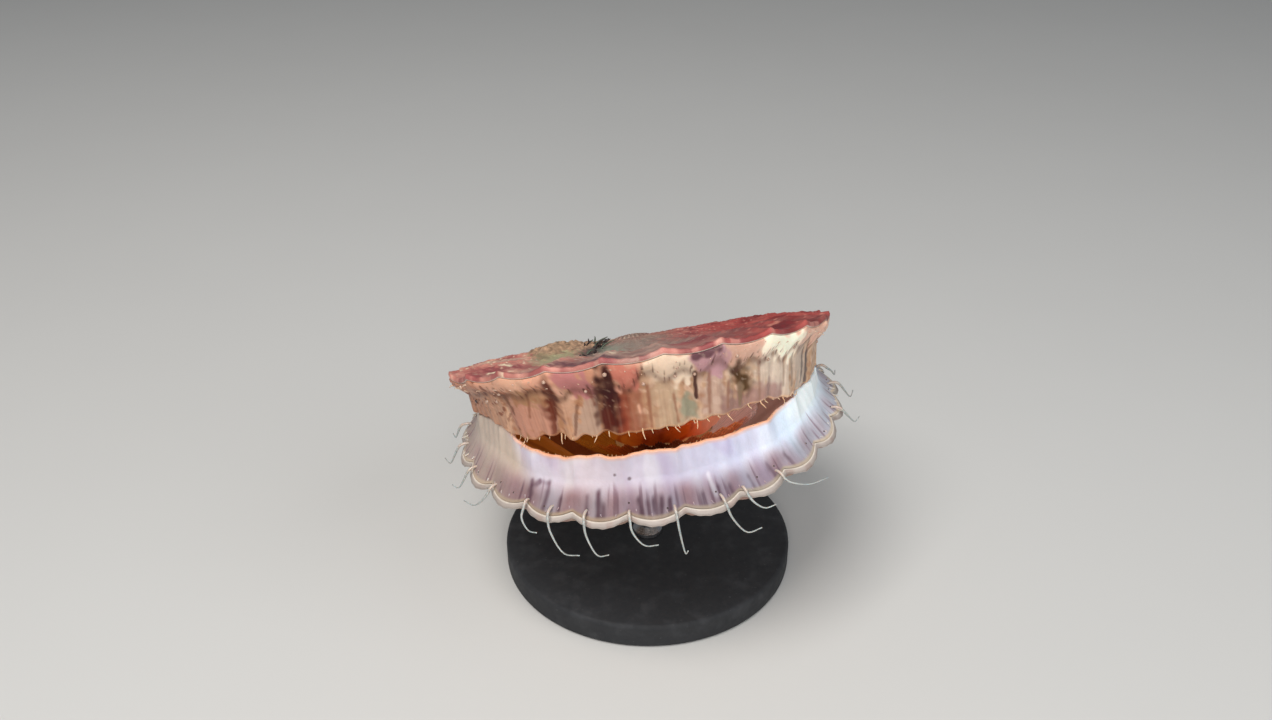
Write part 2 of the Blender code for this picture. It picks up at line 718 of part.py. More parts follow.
def make_stand(clearance, base_finish, rod_finish):
    """A round base and one short rod whose cup takes the lower valve."""
    base = turned(
        "stand_base",
        [
            (0, 0),
            (BASE_RADIUS - 0.5 * MM, 0),
            (BASE_RADIUS, 0.5 * MM),
            (BASE_RADIUS, BASE_HEIGHT - BASE_CHAMFER),
            (BASE_RADIUS - BASE_CHAMFER, BASE_HEIGHT),
            (0, BASE_HEIGHT),
        ],
        48,
    )
    base.data.materials.append(base_finish)
    foot = BASE_HEIGHT + TOUCH
    shell_level = BASE_HEIGHT + CLEAR_HEIGHT
    rod = turned(
        "stand_rod",
        [
            (0, foot),
            (ROD_RADIUS + 1.5 * MM, foot),
            (ROD_RADIUS + 1.5 * MM, foot + 0.8 * MM),
            (ROD_RADIUS, foot + 1.8 * MM),
            (ROD_RADIUS, shell_level - 3.5 * MM),
            (CUP_RADIUS - 1.2 * MM, shell_level - 1.0 * MM),
            (CUP_RADIUS, shell_level + CUP_HEIGHT - 3.4 * MM),
            (0, shell_level + CUP_HEIGHT - 3.4 * MM),
        ],
        28,
    )
    apply_boolean(rod, "DIFFERENCE", [clearance])
    rod.data.materials.append(rod_finish)


# The whole model


def empty(name, parent=None):
    """A frame that others hang on."""
    made = new_object(name, None, parent)
    made.empty_display_size = 0.02
    return made


def main():
    """Builds every node of the model."""
    for obj in list(bpy.data.objects):
        bpy.data.objects.remove(obj)

    pink_shell = material("pink_shell", (0.62, 0.27, 0.22), 0.55)
    cream_shell = material("cream_shell", (0.80, 0.70, 0.58), 0.5)
    upper_skin = material("upper_mantle", (0.52, 0.38, 0.27), 0.45)
    lower_skin = material("lower_mantle", (0.74, 0.72, 0.78), 0.35)
    muscle_flesh = material("muscle", (0.85, 0.76, 0.62), 0.4)
    orange_flesh = material("gonad", (0.78, 0.24, 0.06), 0.35)
    gill_flesh = material("gill", (0.50, 0.20, 0.06), 0.45)
    dark_horn = material("ligament", (0.08, 0.05, 0.035), 0.5)
    dark_slate = material("dark_slate", (0.075, 0.075, 0.08), 0.6)
    steel = material("steel", (0.62, 0.62, 0.62), 0.3, 1.0)

    turn = Matrix.Rotation(HEADING, 4, "Z") @ Matrix.Rotation(PITCH, 4, "X") @ Matrix.Rotation(BANK, 4, "Y")
    tilt = Matrix.Rotation(GAPE / 2, 4, "X")
    bowl = [turn @ tilt @ p for row in valve_grids(LOWER)[1] for p in row]
    perch = turn @ tilt @ PERCH
    lift = BASE_HEIGHT + CLEAR_HEIGHT - min(p.z for p in bowl)

    animal = empty("animal")
    animal.rotation_mode = "QUATERNION"
    animal.rotation_quaternion = turn.to_quaternion()
    animal.location = (-perch.x, -perch.y, lift)
    upper_plane = empty("upper_plane", animal)
    upper_plane.rotation_euler = Euler((-GAPE / 2, 0, 0))
    lower_plane = empty("lower_plane", animal)
    lower_plane.rotation_euler = Euler((GAPE / 2, 0, 0))
    bpy.context.view_layer.update()

    make_valve("valve_upper", UPPER, upper_plane, pink_shell)
    make_valve("valve_lower", LOWER, lower_plane, cream_shell)
    make_ligament(animal, dark_horn)
    make_mantle(UPPER, upper_plane, upper_skin)
    make_mantle(LOWER, lower_plane, lower_skin)
    moulds = [hollow_mould(UPPER, upper_plane), hollow_mould(LOWER, lower_plane)]
    make_muscle(animal, moulds, muscle_flesh)
    make_gonad(animal, orange_flesh)
    make_gill("gill_upper", 3.2 * MM, -1.2 * MM, animal, gill_flesh)
    make_gill("gill_lower", -13.5 * MM, -6.0 * MM, animal, gill_flesh)

    inner, outer = valve_grids(LOWER, WALL + TOUCH)
    clearance = grid_solid("clearance", inner, outer, lower_plane)
    make_stand(clearance, dark_slate, steel)


main()
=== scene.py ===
"""Looks for a swimming scallop at life size, held over a round display stand.

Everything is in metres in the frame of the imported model. Each valve and each lobe of the mantle is shaped
in its own valve's plane, where the hinge lies on X, the open margin is at -Y and Z points out of the upper
valve.
"""

import logging
import math
from dataclasses import dataclass, field
from enum import Enum
from typing import Sequence

import bpy
import numpy as np
from mathutils import Matrix, Vector


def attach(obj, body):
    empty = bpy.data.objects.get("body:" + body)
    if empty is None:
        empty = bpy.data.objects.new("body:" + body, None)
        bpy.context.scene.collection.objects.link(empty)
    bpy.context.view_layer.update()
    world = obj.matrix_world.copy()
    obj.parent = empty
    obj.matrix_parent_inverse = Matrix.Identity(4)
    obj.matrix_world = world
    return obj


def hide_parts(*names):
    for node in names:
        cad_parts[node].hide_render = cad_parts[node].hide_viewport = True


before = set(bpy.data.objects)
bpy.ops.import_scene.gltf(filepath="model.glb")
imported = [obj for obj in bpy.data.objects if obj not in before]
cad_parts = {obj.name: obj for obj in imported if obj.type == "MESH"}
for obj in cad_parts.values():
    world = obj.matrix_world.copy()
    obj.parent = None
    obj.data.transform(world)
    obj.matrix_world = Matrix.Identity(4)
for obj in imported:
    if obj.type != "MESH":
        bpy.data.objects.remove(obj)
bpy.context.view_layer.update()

LOG = logging.getLogger("scallop")
MM = 0.001
SMALLEST = 1e-6
WELD = 0.002 * MM
Array = np.ndarray
Piece = bpy.types.Object
Socket = bpy.types.NodeSocket


class Valve(Enum):
    """The two valves of the shell."""

    UPPER = "upper"
    LOWER = "lower"

    @property
    def inside(self) -> float:
        """Which way the hollow of the shell lies along the plane's Z."""
        return -1.0 if self is Valve.UPPER else 1.0


# Numbers and waves


def paint(red: float, green: float, blue: float) -> Array:
    """A colour, 0 to 255, as linear light."""
    value = np.array([red, green, blue]) / 255
    return np.where(value <= 0.04045, value / 12.92, ((value + 0.055) / 1.055) ** 2.4)


def ease(values: Array, low: float, high: float) -> Array:
    """A smooth step from 0 at the low mark to 1 at the high one."""
    share = np.clip((np.asarray(values, dtype=float) - low) / (high - low), 0, 1)
    return share * share * (3 - 2 * share)


def hill(values: Array, middle: float, width: float) -> Array:
    """A soft hill, 1 high at its middle."""
    return np.exp(-(((np.asarray(values) - middle) / width) ** 2))


def waves(along: Array, across: Array, seed: int, low: float, high: float, count: int = 9) -> Array:
    """A smooth random relief of about -1 to 1.

    Args:
        along: The first coordinate of the points.
        across: The second coordinate.
        seed: Fixes the relief.
        low: The fewest waves per unit.
        high: The most waves per unit.
        count: How many waves are summed.

    Returns:
        One number for each point.
    """
    chance = np.random.default_rng(seed)
    along, across = np.broadcast_arrays(np.asarray(along, dtype=float), np.asarray(across, dtype=float))
    total = np.zeros(along.shape)
    for _ in range(count):
        turn, rate, phase = chance.uniform(0, math.pi), chance.uniform(low, high), chance.random()
        total += np.sin(2 * math.pi * (rate * (along * math.cos(turn) + across * math.sin(turn)) + phase))
    return total / math.sqrt(count * 0.6)


def dab(tint: Array, colour: Array, share: Array) -> Array:
    """The tint with a colour laid over it by a share at each point."""
    share = np.clip(share, 0, 1)[..., None]
    return tint * (1 - share) + colour * share


def clouded(
    tint: Array, colour: tuple[int, int, int], most: float, cloud: Array, low: float, high: float
) -> Array:
    """A colour laid over the tint where a cloud of noise is high.

    Args:
        tint: The colours so far.
        colour: What is laid over them, in the photo's numbers.
        most: The largest share that it takes.
        cloud: The noise at each point.
        low: Where the noise starts to count.
        high: Where it counts in full.

    Returns:
        The new colours.
    """
    return dab(tint, paint(*colour), most * ease(cloud, low, high))


@dataclass(frozen=True)
class Mark:
    """A soft-edged mark painted on a surface, from one place to another.

    The places and half widths are in one unit on the surface, degrees of the fan or millimetres.
    """

    start: tuple[float, float]
    end: tuple[float, float]
    widths: tuple[float, float]
    colour: tuple[float, float, float]
    strength: float = 0.9
    soft: float = 0.5

    def cover(self, along: Array, across: Array, wobble: Array, unit: float) -> Array:
        """How much of the mark lies on each point, its second coordinates counting by the unit.

        Args:
            along: First coordinates of the points.
            across: Second coordinates, in units.
            wobble: How the mark's edge wavers.
            unit: How many first units one second unit is long.

        Returns:
            A share for each point.
        """
        begin = np.array(self.start) * (1, unit)
        way = np.array(self.end) * (1, unit) - begin
        share = ((along - begin[0]) * way[0] + (across - begin[1]) * way[1]) / max(float(way @ way), SMALLEST)
        share = np.clip(share, 0, 1)
        away = np.hypot(along - begin[0] - share * way[0], across - begin[1] - share * way[1])
        width = self.widths[0] + (self.widths[1] - self.widths[0]) * share
        return self.strength * ease((width * (1 + 0.22 * wobble) - away) / width, -self.soft, self.soft)


def painted(
    tint: Array, marks: Sequence[Mark], along: Array, across: Array, seed: int, unit: float = 1.0
) -> Array:
    """The tint with marks laid over it one after the other.

    Args:
        tint: The colours below.
        marks: What is painted.
        along: The first coordinate of the points.
        across: The second one.
        seed: Fixes how the marks' edges waver.
        unit: How many first units one second unit is long.

    Returns:
        The new colours.
    """
    wobble = waves(along, across * unit, seed, 0.25, 0.9)
    for mark in marks:
        tint = dab(tint, paint(*mark.colour), mark.cover(along, across * unit, wobble, unit))
    return tint


def washed(tint: Array, along: Array, places: Sequence[float], shares: Sequence[Sequence[float]]) -> Array:
    """The tint darkened or lightened from place to place, as painted light and shade.

    Args:
        tint: The colours.
        along: A coordinate for each point.
        places: Where along it each wash is full, in rising order.
        shares: How much of red, green and blue is left at each of these places.

    Returns:
        The new colours.
    """
    table = np.array(shares)
    return tint * np.stack([np.interp(along, places, table[:, band]) for band in range(3)], axis=-1)


def round_rows(rows: Sequence[Array], counts: Sequence[int]) -> Array:
    """Rounds a surface given by a few rows of points.

    Args:
        rows: The rows, each of columns by 3.
        counts: How many steps each stretch between two rows is cut into.

    Returns:
        The rounded rows, from the first given row to the last.
    """
    known = np.stack(rows)
    ends = np.concatenate([2 * known[:1] - known[1:2], known, 2 * known[-1:] - known[-2:-1]])
    made = []
    for part, count in enumerate(counts):
        t = (np.arange(count) / count)[:, None, None]
        a, b, c, d = (ends[part + i][None] for i in range(4))
        square, cube = 2 * a - 5 * b + 4 * c - d, 3 * b - a - 3 * c + d
        made.append(0.5 * (2 * b + (c - a) * t + square * t**2 + cube * t**3))
    return np.concatenate([*made, known[-1:]])


# The animal's form


@dataclass(frozen=True)
class Pose:
    """Where the animal is and how it is turned."""

    heading: float = math.radians(4.7)
    pitch: float = math.radians(-15.5)
    bank: float = math.radians(-7.2)
    gape: float = math.radians(22.8)
    hinge: tuple[float, float, float] = (-3.617 * MM, 33.716 * MM, 38.52 * MM)

    def animal(self) -> Matrix:
        """The frame halfway between the valves, with the hinge on X.

        Returns:
            The frame.
        """
        turn = Matrix.Rotation(self.heading, 4, "Z")
        turn = turn @ Matrix.Rotation(self.pitch, 4, "X") @ Matrix.Rotation(self.bank, 4, "Y")
        return Matrix.Translation(self.hinge) @ turn

    def plane(self, valve: Valve) -> Matrix:
        """The plane of one valve's margin."""
        return self.animal() @ Matrix.Rotation(valve.inside * self.gape / 2, 4, "X")


@dataclass(frozen=True)
class ShellForm:
    """The shell by formulas over the ray, an angle at the beak, and the growth.

    The growth is 0 at the beak and 1 at the margin.
    """

    disc: float = 44 * MM
    centre: float = 36 * MM
    fan_half: float = math.radians(70)
    bend: float = 0.24
    upper_share: float = 0.965
    lower_share: float = 0.948
    hinge_gap: float = 0.35 * MM
    depth: float = 18.5 * MM
    depth_skew: float = 0.6
    dip: float = 1.8 * MM
    wall: float = 1.8 * MM
    rib_step: float = math.radians(8.8)
    rib_shift: float = math.radians(-2.5)
    rib_fade: float = math.radians(58)
    lower_rib: float = 1.5 * MM
    upper_rib: float = 1.3 * MM

    def share(self, valve: Valve) -> float:
        """How much of the disc the valve's inner edge fills."""
        return self.upper_share if valve is Valve.UPPER else self.lower_share

    def rib_height(self, valve: Valve) -> float:
        """How high the valve's ribs stand."""
        return self.upper_rib if valve is Valve.UPPER else self.lower_rib

    def reach(self, ray: Array) -> Array:
        """Distance from the beak to the disc's edge along a ray."""
        return self.centre * np.cos(ray) + np.sqrt(self.disc**2 - (self.centre * np.sin(ray)) ** 2)

    def flat(self, valve: Valve, ray: Array, growth: Array) -> tuple[Array, Array]:
        """Place in the valve's plane.

        Args:
            valve: The valve.
            ray: Angles at the beak.
            growth: How far out the points lie, 0 at the beak and 1 at the margin.

        Returns:
            The places across and along the plane.
        """
        distance = self.reach(ray) * growth * self.share(valve)
        turned = ray * (1 - self.bend + self.bend * growth)
        return distance * np.sin(turned), -distance * np.cos(turned)

    def place(self, valve: Valve, x: Array, y: Array) -> tuple[Array, Array]:
        """Ray and growth at a place in the valve's plane.

        Args:
            valve: The valve.
            x: Places across the valve's plane.
            y: Places along it.

        Returns:
            The rays and the growths.
        """
        turned, distance = np.arctan2(x, -y), np.hypot(x, y)
        ray, growth = turned, np.ones_like(turned)
        for _ in range(12):
            growth = distance / (self.reach(ray) * self.share(valve))
            ray = np.clip(turned / (1 - self.bend + self.bend * growth), -self.fan_half, self.fan_half)
        return ray, growth

    def rib(self, ray: Array) -> Array:
        """1 on a lower rib's crest and -1 in its groove, fading out on the shoulders.

        Args:
            ray: Angles at the beak.

        Returns:
            A height from -1 to 1 for each ray.
        """
        fade = np.clip((self.fan_half - np.abs(ray)) / (self.fan_half - self.rib_fade), 0, 1)
        square = np.cos(math.pi * (ray - self.rib_shift) / self.rib_step) ** 2
        return fade * (2 * ((square + 0.01) / 1.01) ** 0.35 - 1)

    def level(self, valve: Valve, ray: Array, growth: Array) -> Array:
        """Height of the inner face in the valve's plane.

        Args:
            valve: The valve.
            ray: Angles at the beak.
            growth: How far out the points lie, 0 at the beak and 1 at the margin.

        Returns:
            A height for each point.
        """
        side = np.clip(np.abs(ray) / self.fan_half, 0, 1)
        if valve is Valve.UPPER:
            return self.hinge_gap - self.dip * np.sin(math.pi * np.clip(growth, 0, 1)) ** 2 * (1 - side**2)
        profile = 1 - (2 * np.clip(growth, 0, 1) ** self.depth_skew - 1) ** 2
        return -self.hinge_gap - self.depth * profile * np.clip(1 - side**2.6, 0, None) ** 0.55

    def inner(self, valve: Valve, ray: Array, growth: Array) -> Array:
        """Points of the inner face."""
        x, y = self.flat(valve, ray, growth)
        return np.stack([x, y, self.level(valve, ray, growth)], axis=-1)

    def inward(self, valve: Valve, ray: Array, growth: Array) -> Array:
        """Unit normals of the inner face, into the hollow.

        Args:
            valve: The valve.
            ray: Angles at the beak.
            growth: How far out the points lie, 0 at the beak and 1 at the margin.

        Returns:
            A unit vector for each point.
        """
        step = 0.01
        near = np.clip(growth, 0.03, 0.985)
        side = np.clip(ray, -self.fan_half + 0.02, self.fan_half - 0.02)
        out = self.inner(valve, side, near + step) - self.inner(valve, side, near - step)
        around = self.inner(valve, side + step, near) - self.inner(valve, side - step, near)
        normal = np.cross(out, around)
        normal /= np.linalg.norm(normal, axis=-1, keepdims=True)
        return normal * np.where(normal[..., 2:] * valve.inside > 0, 1.0, -1.0)

    def fluted(self, valve: Valve, ray: Array, growth: Array, thick: Array) -> Array:
        """Points a thickness outside the inner face, the margin's outline waved with the ribs.

        Args:
            valve: The valve.
            ray: Angles at the beak.
            growth: How far out the points lie, 0 at the beak and 1 at the margin.
            thick: How far out of the inner face the points lie.

        Returns:
            The points.
        """
        wave = valve.inside * self.rib(ray)
        x, y = self.flat(valve, ray, np.ones(np.shape(ray)))
        outwards = np.stack([x, y, np.zeros(np.shape(x))], axis=-1)
        outwards /= np.linalg.norm(outwards, axis=-1, keepdims=True)
        points = self.inner(valve, ray, growth) - self.inward(valve, ray, growth) * thick[..., None]
        return points + outwards * (0.45 * self.rib_height(valve) * wave * growth**4)[..., None]

    def flute(self, valve: Valve, ray: Array, growth: Array) -> Array:
        """How far the inner face steps out under a rib's crest, close to the margin."""
        crest = 0.5 + 0.5 * valve.inside * self.rib(ray)
        return 0.8 * self.rib_height(valve) * crest * ease(growth, 0.88, 1.0)

    def lip(self, valve: Valve, ray: Array, growth: float, lift: float) -> Array:
        """Points a little over the fluted inner face, close to the margin."""
        growth = np.full(np.shape(ray), growth)
        return self.fluted(valve, ray, growth, self.flute(valve, ray, growth) - lift)

    def margin(self, valve: Valve, ray: Array, inset: Array, height: Array) -> Array:
        """Points by distance in from the margin and height over the valve's plane, into the hollow.

        Args:
            valve: The valve.
            ray: Angles at the beak.
            inset: Distances in from the margin.
            height: Heights over the valve's plane.

        Returns:
            The points.
        """
        ray, inset, height = np.broadcast_arrays(ray, inset, height)
        x, y = self.flat(valve, ray, np.ones(ray.shape))
        edge = np.stack([x, y], axis=-1)
        inward = np.array([0, -self.centre * self.share(valve)]) - edge
        inward /= np.linalg.norm(inward, axis=-1, keepdims=True)
        return np.concatenate([edge + inward * inset[..., None], (valve.inside * height)[..., None]], axis=-1)

    def lining(self, valve: Valve, ray: Array, inset: Array, lift: Array) -> Array:
        """Points over the inner face, lifted square to that face.

        Args:
            valve: The valve.
            ray: Angles at the beak.
            inset: Distances in from the margin.
            lift: How far over the face the points lie.

        Returns:
            The points.
        """
        points = self.margin(valve, ray, inset, np.zeros(()))
        ray_in, growth = self.place(valve, points[..., 0], points[..., 1])
        upright = np.clip(np.abs(self.inward(valve, ray_in, growth)[..., 2]), 0.35, None)
        points[..., 2] = self.level(valve, ray_in, growth) + valve.inside * lift / upright
        return points


@dataclass(frozen=True)
class CurtainForm:
    """How the curtains stand on the mantle and where they leave the slit."""

    shell: ShellForm
    gape: float
    foot: float = 2.8 * MM
    foot_level: float = 0.8 * MM
    wall: float = 1.05 * MM
    wave: float = 0.55 * MM
    slit: float = 5.2 * MM
    closed: float = 0.8 * MM
    slit_level: float = -1.2 * MM
    slit_rise: float = 3.4 * MM
    taper: float = math.radians(46)
    end: float = math.radians(65)
    upper_lean: float = 0.2
    lower_lean: float = 0.14

    def lean(self, valve: Valve) -> float:
        """How far the curtain leans in, for its height."""
        return self.upper_lean if valve is Valve.UPPER else self.lower_lean

    def height(self, valve: Valve, ray: Array) -> Array:
        """Height of the curtain's edge over the valve's plane.

        Args:
            valve: The valve.
            ray: Angles at the beak.

        Returns:
            A height for each ray.
        """
        y = self.shell.margin(valve, ray, 1.6 * self.foot, np.zeros(()))[..., 1]
        wide = ease(np.degrees(np.abs(ray)), 17, 32)
        gap = self.slit + (self.closed - self.slit) * wide
        far = np.clip((np.abs(ray) - self.taper) / (self.end - self.taper), 0, 1)
        shift = valve.inside * (self.slit_level + self.slit_rise * ease(np.degrees(-ray), 25, 36))
        whole = -y * math.tan(self.gape / 2) + shift * (1 - far) - gap / 2
        return whole * (1 - 0.45 * far**1.5)


# Finishes


@dataclass(frozen=True)
class Spots:
    """A scatter of spots of one colour over a finish."""

    colour: tuple[float, float, float]
    scale: float
    low: float
    high: float
    strength: float = 1.0


@dataclass
class Brush:
    """Short ways to add the nodes of a finish."""

    tree: bpy.types.NodeTree
    place: Socket

    def noise(self, scale: float, detail: float) -> Socket:
        """A noise field.

        Args:
            scale: Waves per metre.
            detail: How fine the noise gets.

        Returns:
            The noise.
        """
        node = self.tree.nodes.new("ShaderNodeTexNoise")
        node.inputs["Scale"].default_value = scale
        node.inputs["Detail"].default_value = detail
        self.tree.links.new(self.place, node.inputs["Vector"])
        return node.outputs["Fac"]

    def share(self, scale: float, detail: float, low: float, high: float, most: float) -> Socket:
        """A noise field cut to 0 under the low mark and to the most over the high one.

        Args:
            scale: Waves per metre.
            detail: How fine the noise gets.
            low: Where the noise starts to count.
            high: Where it counts in full.
            most: The highest value.

        Returns:
            The cut noise.
        """
        node = self.tree.nodes.new("ShaderNodeMapRange")
        node.inputs["From Min"].default_value = low
        node.inputs["From Max"].default_value = high
        node.inputs["To Max"].default_value = most
        self.tree.links.new(self.noise(scale, detail), node.inputs["Value"])
        return node.outputs[0]

    def plus(self, value: Socket, amount: float) -> Socket:
        """The value and an amount.

        Args:
            value: The value.
            amount: What is added.

        Returns:
            The sum.
        """
        node = self.tree.nodes.new("ShaderNodeMath")
        node.inputs[1].default_value = amount
        self.tree.links.new(value, node.inputs[0])
        return node.outputs[0]

    def mix(
        self, way: str, share: Socket, colour: Socket, other: tuple[float, float, float]
    ) -> Socket:
        """A colour mixed with a fixed one by a share.

        Args:
            way: How the colours are blended.
            share: How much of the fixed colour shows.
            colour: The first colour.
            other: The fixed colour.

        Returns:
            The mixed colour.
        """
        node = self.tree.nodes.new("ShaderNodeMix")
        node.data_type = "RGBA"
        node.blend_type = way
        self.tree.links.new(share, node.inputs[0])
        self.tree.links.new(colour, node.inputs[6])
        node.inputs[7].default_value = (*other, 1)
        return node.outputs[2]


@dataclass(frozen=True)
class Finish:
    """A surface in the piece's own tint, or in one colour, broken up by noise and spots."""

    name: str
    colour: tuple[float, float, float] | None = None
    roughness: float = 0.45
    rough_spread: float = 0.1
    mottle: float = 0.25
    mottle_scale: float = 400.0
    spots: tuple[Spots, ...] = ()
    bump: float = 0.3
    bump_scale: float = 1500.0
    bump_depth: float = 0.2 * MM
    specular: float = 0.5
    coat: float = 0.0
    subsurface: float = 0.0
    subsurface_depth: float = 2.0 * MM
    transmission: float = 0.0
    metallic: float = 0.0
    glow: float = 0.0
    stretch: tuple[float, float, float] = (1.0, 1.0, 1.0)

    def make(self) -> bpy.types.Material:
        """Builds the material.

        Returns:
            The new material.
        """
        made = bpy.data.materials.new(self.name)
        made.use_nodes = True
        tree = made.node_tree
        shader = tree.nodes["Principled BSDF"]
        place = tree.nodes.new("ShaderNodeMapping")
        place.inputs["Scale"].default_value = self.stretch
        tree.links.new(tree.nodes.new("ShaderNodeTexCoord").outputs["Object"], place.inputs["Vector"])
        brush = Brush(tree, place.outputs["Vector"])
        if self.colour is None:
            source = tree.nodes.new("ShaderNodeAttribute")
            source.attribute_name = "tint"
        else:
            source = tree.nodes.new("ShaderNodeRGB")
            source.outputs[0].default_value = (*self.colour, 1)
        cloud = brush.share(self.mottle_scale, 6, 0.35, 0.75, self.mottle)
        colour = brush.mix("MULTIPLY", cloud, source.outputs[0], (0.5, 0.45, 0.42))
        for spot in self.spots:
            share = brush.share(spot.scale, 3, spot.low, spot.high, spot.strength)
            colour = brush.mix("MIX", share, colour, spot.colour)
        tree.links.new(colour, shader.inputs["Base Color"])
        if self.glow:
            tree.links.new(colour, shader.inputs["Emission Color"])
        rough = brush.share(self.bump_scale * 0.6, 4, 0.3, 0.7, 2 * self.rough_spread)
        tree.links.new(brush.plus(rough, self.roughness - self.rough_spread), shader.inputs["Roughness"])
        relief = tree.nodes.new("ShaderNodeBump")
        relief.inputs["Strength"].default_value = self.bump
        relief.inputs["Distance"].default_value = self.bump_depth
        tree.links.new(brush.noise(self.bump_scale, 8), relief.inputs["Height"])
        tree.links.new(relief.outputs[0], shader.inputs["Normal"])
        for socket, value in (
            ("Metallic", self.metallic),
            ("Specular IOR Level", self.specular),
            ("Coat Weight", self.coat),
            ("Coat Roughness", 0.15),
            ("Emission Strength", self.glow),
            ("Subsurface Weight", self.subsurface),
            ("Subsurface Radius", (1.0, 0.55, 0.4)),
            ("Subsurface Scale", self.subsurface_depth),
            ("Transmission Weight", self.transmission),
        ):
            shader.inputs[socket].default_value = value
        return made


SHELL_FINISH = Finish(
    "shell_chalk", None, 0.58, 0.12, 0.35, 300, bump=0.6, bump_scale=1400, bump_depth=0.18 * MM, coat=0.05
)
# Painted light: glow makes the skin give off a little light of its own.
SKIN_FINISH = Finish(
    "mantle_skin",
    None,
    0.46,
    0.1,
    0.18,
    500,
    bump=0.25,
    bump_scale=2200,
    specular=0.2,
    coat=0.06,
    subsurface=0.14,
    subsurface_depth=0.7 * MM,
    glow=0.07,
)
STRAND_FINISH = Finish("tentacle_skin", None, 0.3, 0.05, 0.1, 900, bump=0.1, coat=0.4, subsurface=0.4)
EYE_FINISH = Finish("eye_lens", None, 0.08, 0.03, 0.05, 2000, bump=0.02, coat=1.0)
# Painted light: glow makes the flesh give off light of its own, as if lit through.
FLESH_FINISH = Finish(
    "inner_flesh",
    None,
    0.42,
    0.1,
    0.3,
    450,
    bump=0.25,
    bump_scale=1800,
    specular=0.2,
    coat=0.08,
    subsurface=0.25,
    glow=0.2,
)
WEED_FINISH = Finish("weed", None, 0.6, 0.1, 0.3, 900, bump=0.3)
HORN_FINISH = Finish("dark_horn", (0.035, 0.02, 0.012), 0.4, 0.1, 0.4, 700, bump=0.4, coat=0.2)
# The stand's slate is near-black: painted shadow under the animal.
STONE_FINISH = Finish(
    "dark_slate",
    (0.02, 0.021, 0.024),
    0.8,
    0.08,
    0.4,
    90,
    (Spots((0.04, 0.041, 0.045), 240, 0.5, 0.72, 0.7), Spots((0.09, 0.09, 0.095), 1600, 0.68, 0.74, 0.5)),
    bump=0.15,
    bump_scale=900,
)
STEEL_FINISH = Finish(
    "brushed_steel",
    (0.56, 0.56, 0.57),
    0.32,
    0.12,
    0.12,
    300,
    bump=0.08,
    bump_scale=900,
    metallic=1.0,
    stretch=(1, 1, 14),
)


# Ways of making a piece


def only(piece: Piece) -> None:
    """Selects one object and nothing else.

    Args:
        piece: The mesh.
    """
    bpy.ops.object.select_all(action="DESELECT")
    piece.select_set(True)
    bpy.context.view_layer.objects.active = piece


def named(name: str) -> Piece:
    """The object that an operator has just added or joined, under its name.

    Args:
        name: The name of the whole.

    Returns:
        The object.
    """
    piece = bpy.context.active_object
    piece.name = piece.data.name = name
    return piece


def points_of(piece: Piece) -> Array:
    """The points of a mesh.

    Args:
        piece: The mesh.

    Returns:
        Three coordinates for each point.
    """
    flat = np.empty(3 * len(piece.data.vertices), dtype=np.float32)
    piece.data.vertices.foreach_get("co", flat)
    return flat.reshape(-1, 3).astype(float)


def placed(points: Array, place: Matrix) -> Array:
    """Points of a place's frame in the model's frame."""
    return points.reshape(-1, 3) @ np.array(place.to_3x3()).T + np.array(place.translation)


def put_points(piece: Piece, points: Array) -> None:
    """Moves the points of a mesh."""
    piece.data.vertices.foreach_set("co", points.astype(np.float32).ravel())
    piece.data.update()


def put_tint(piece: Piece, colours: Array) -> None:
    """Gives every point of a mesh its colour, from one for all or one for each.

    Args:
        piece: The mesh.
        colours: The colours.
    """
    count = len(piece.data.vertices)
    colours = np.broadcast_to(colours, (count, 3)) if np.ndim(colours) == 1 else colours.reshape(-1, 3)
    layer = piece.data.color_attributes.new("tint", "FLOAT_COLOR", "POINT")
    solid = np.concatenate([colours, np.ones((count, 1))], axis=1)
    layer.data.foreach_set("color", solid.astype(np.float32).ravel())


def looped(rows: Array) -> Array:
    """The rows with the first one once more at the end."""
    return np.concatenate([rows, rows[:1]])


def sheet(name: str, points: Array, colours: Array, place: Matrix) -> Piece:
    """A grid whose points are moved to a form, closed where its sides meet and filled where they don't.

    Args:
        name: The piece's name.
        points: Rows by columns by 3, in the frame of the place.
        colours: A colour for each point, or one for all.
        place: Where the form stands.

    Returns:
        The new piece, smooth and facing outwards.
    """
    rows, columns = points.shape[:2]
    bpy.ops.object.select_all(action="DESELECT")
    bpy.ops.mesh.primitive_grid_add(x_subdivisions=columns - 1, y_subdivisions=rows - 1, size=1)
    piece = named(name)
    put_points(piece, placed(points, place))
    put_tint(piece, colours)
    bpy.ops.object.mode_set(mode="EDIT")
    bpy.ops.mesh.select_all(action="SELECT")
    bpy.ops.mesh.remove_doubles(threshold=WELD)
    bpy.ops.mesh.select_mode(type="EDGE")
    bpy.ops.mesh.select_all(action="DESELECT")
    only_open = {"use_wire": False, "use_multi_face": False, "use_non_contiguous": False}
    bpy.ops.mesh.select_non_manifold(extend=False, **only_open)
    bpy.ops.mesh.fill()
    bpy.ops.mesh.select_mode(type="VERT")
    bpy.ops.mesh.select_all(action="SELECT")
    bpy.ops.mesh.normals_make_consistent(inside=False)
    bpy.ops.object.mode_set(mode="OBJECT")
    bpy.ops.object.shade_smooth()
    return piece


def joined(name: str, pieces: Sequence[Piece]) -> Piece:
    """Several meshes as one piece.

    Args:
        name: The name of the whole.
        pieces: What is joined.

    Returns:
        The whole piece.
    """
    only(pieces[0])
    for piece in pieces:
        piece.select_set(True)
    bpy.ops.object.join()
    return named(name)


def copy_of(pattern: Piece) -> Piece:
    """A copy with its own mesh.

    Args:
        pattern: The mesh to copy.

    Returns:
        The copy, linked to the scene.
    """
    copy = pattern.copy()
    copy.data = pattern.data.copy()
    bpy.context.scene.collection.objects.link(copy)
    return copy


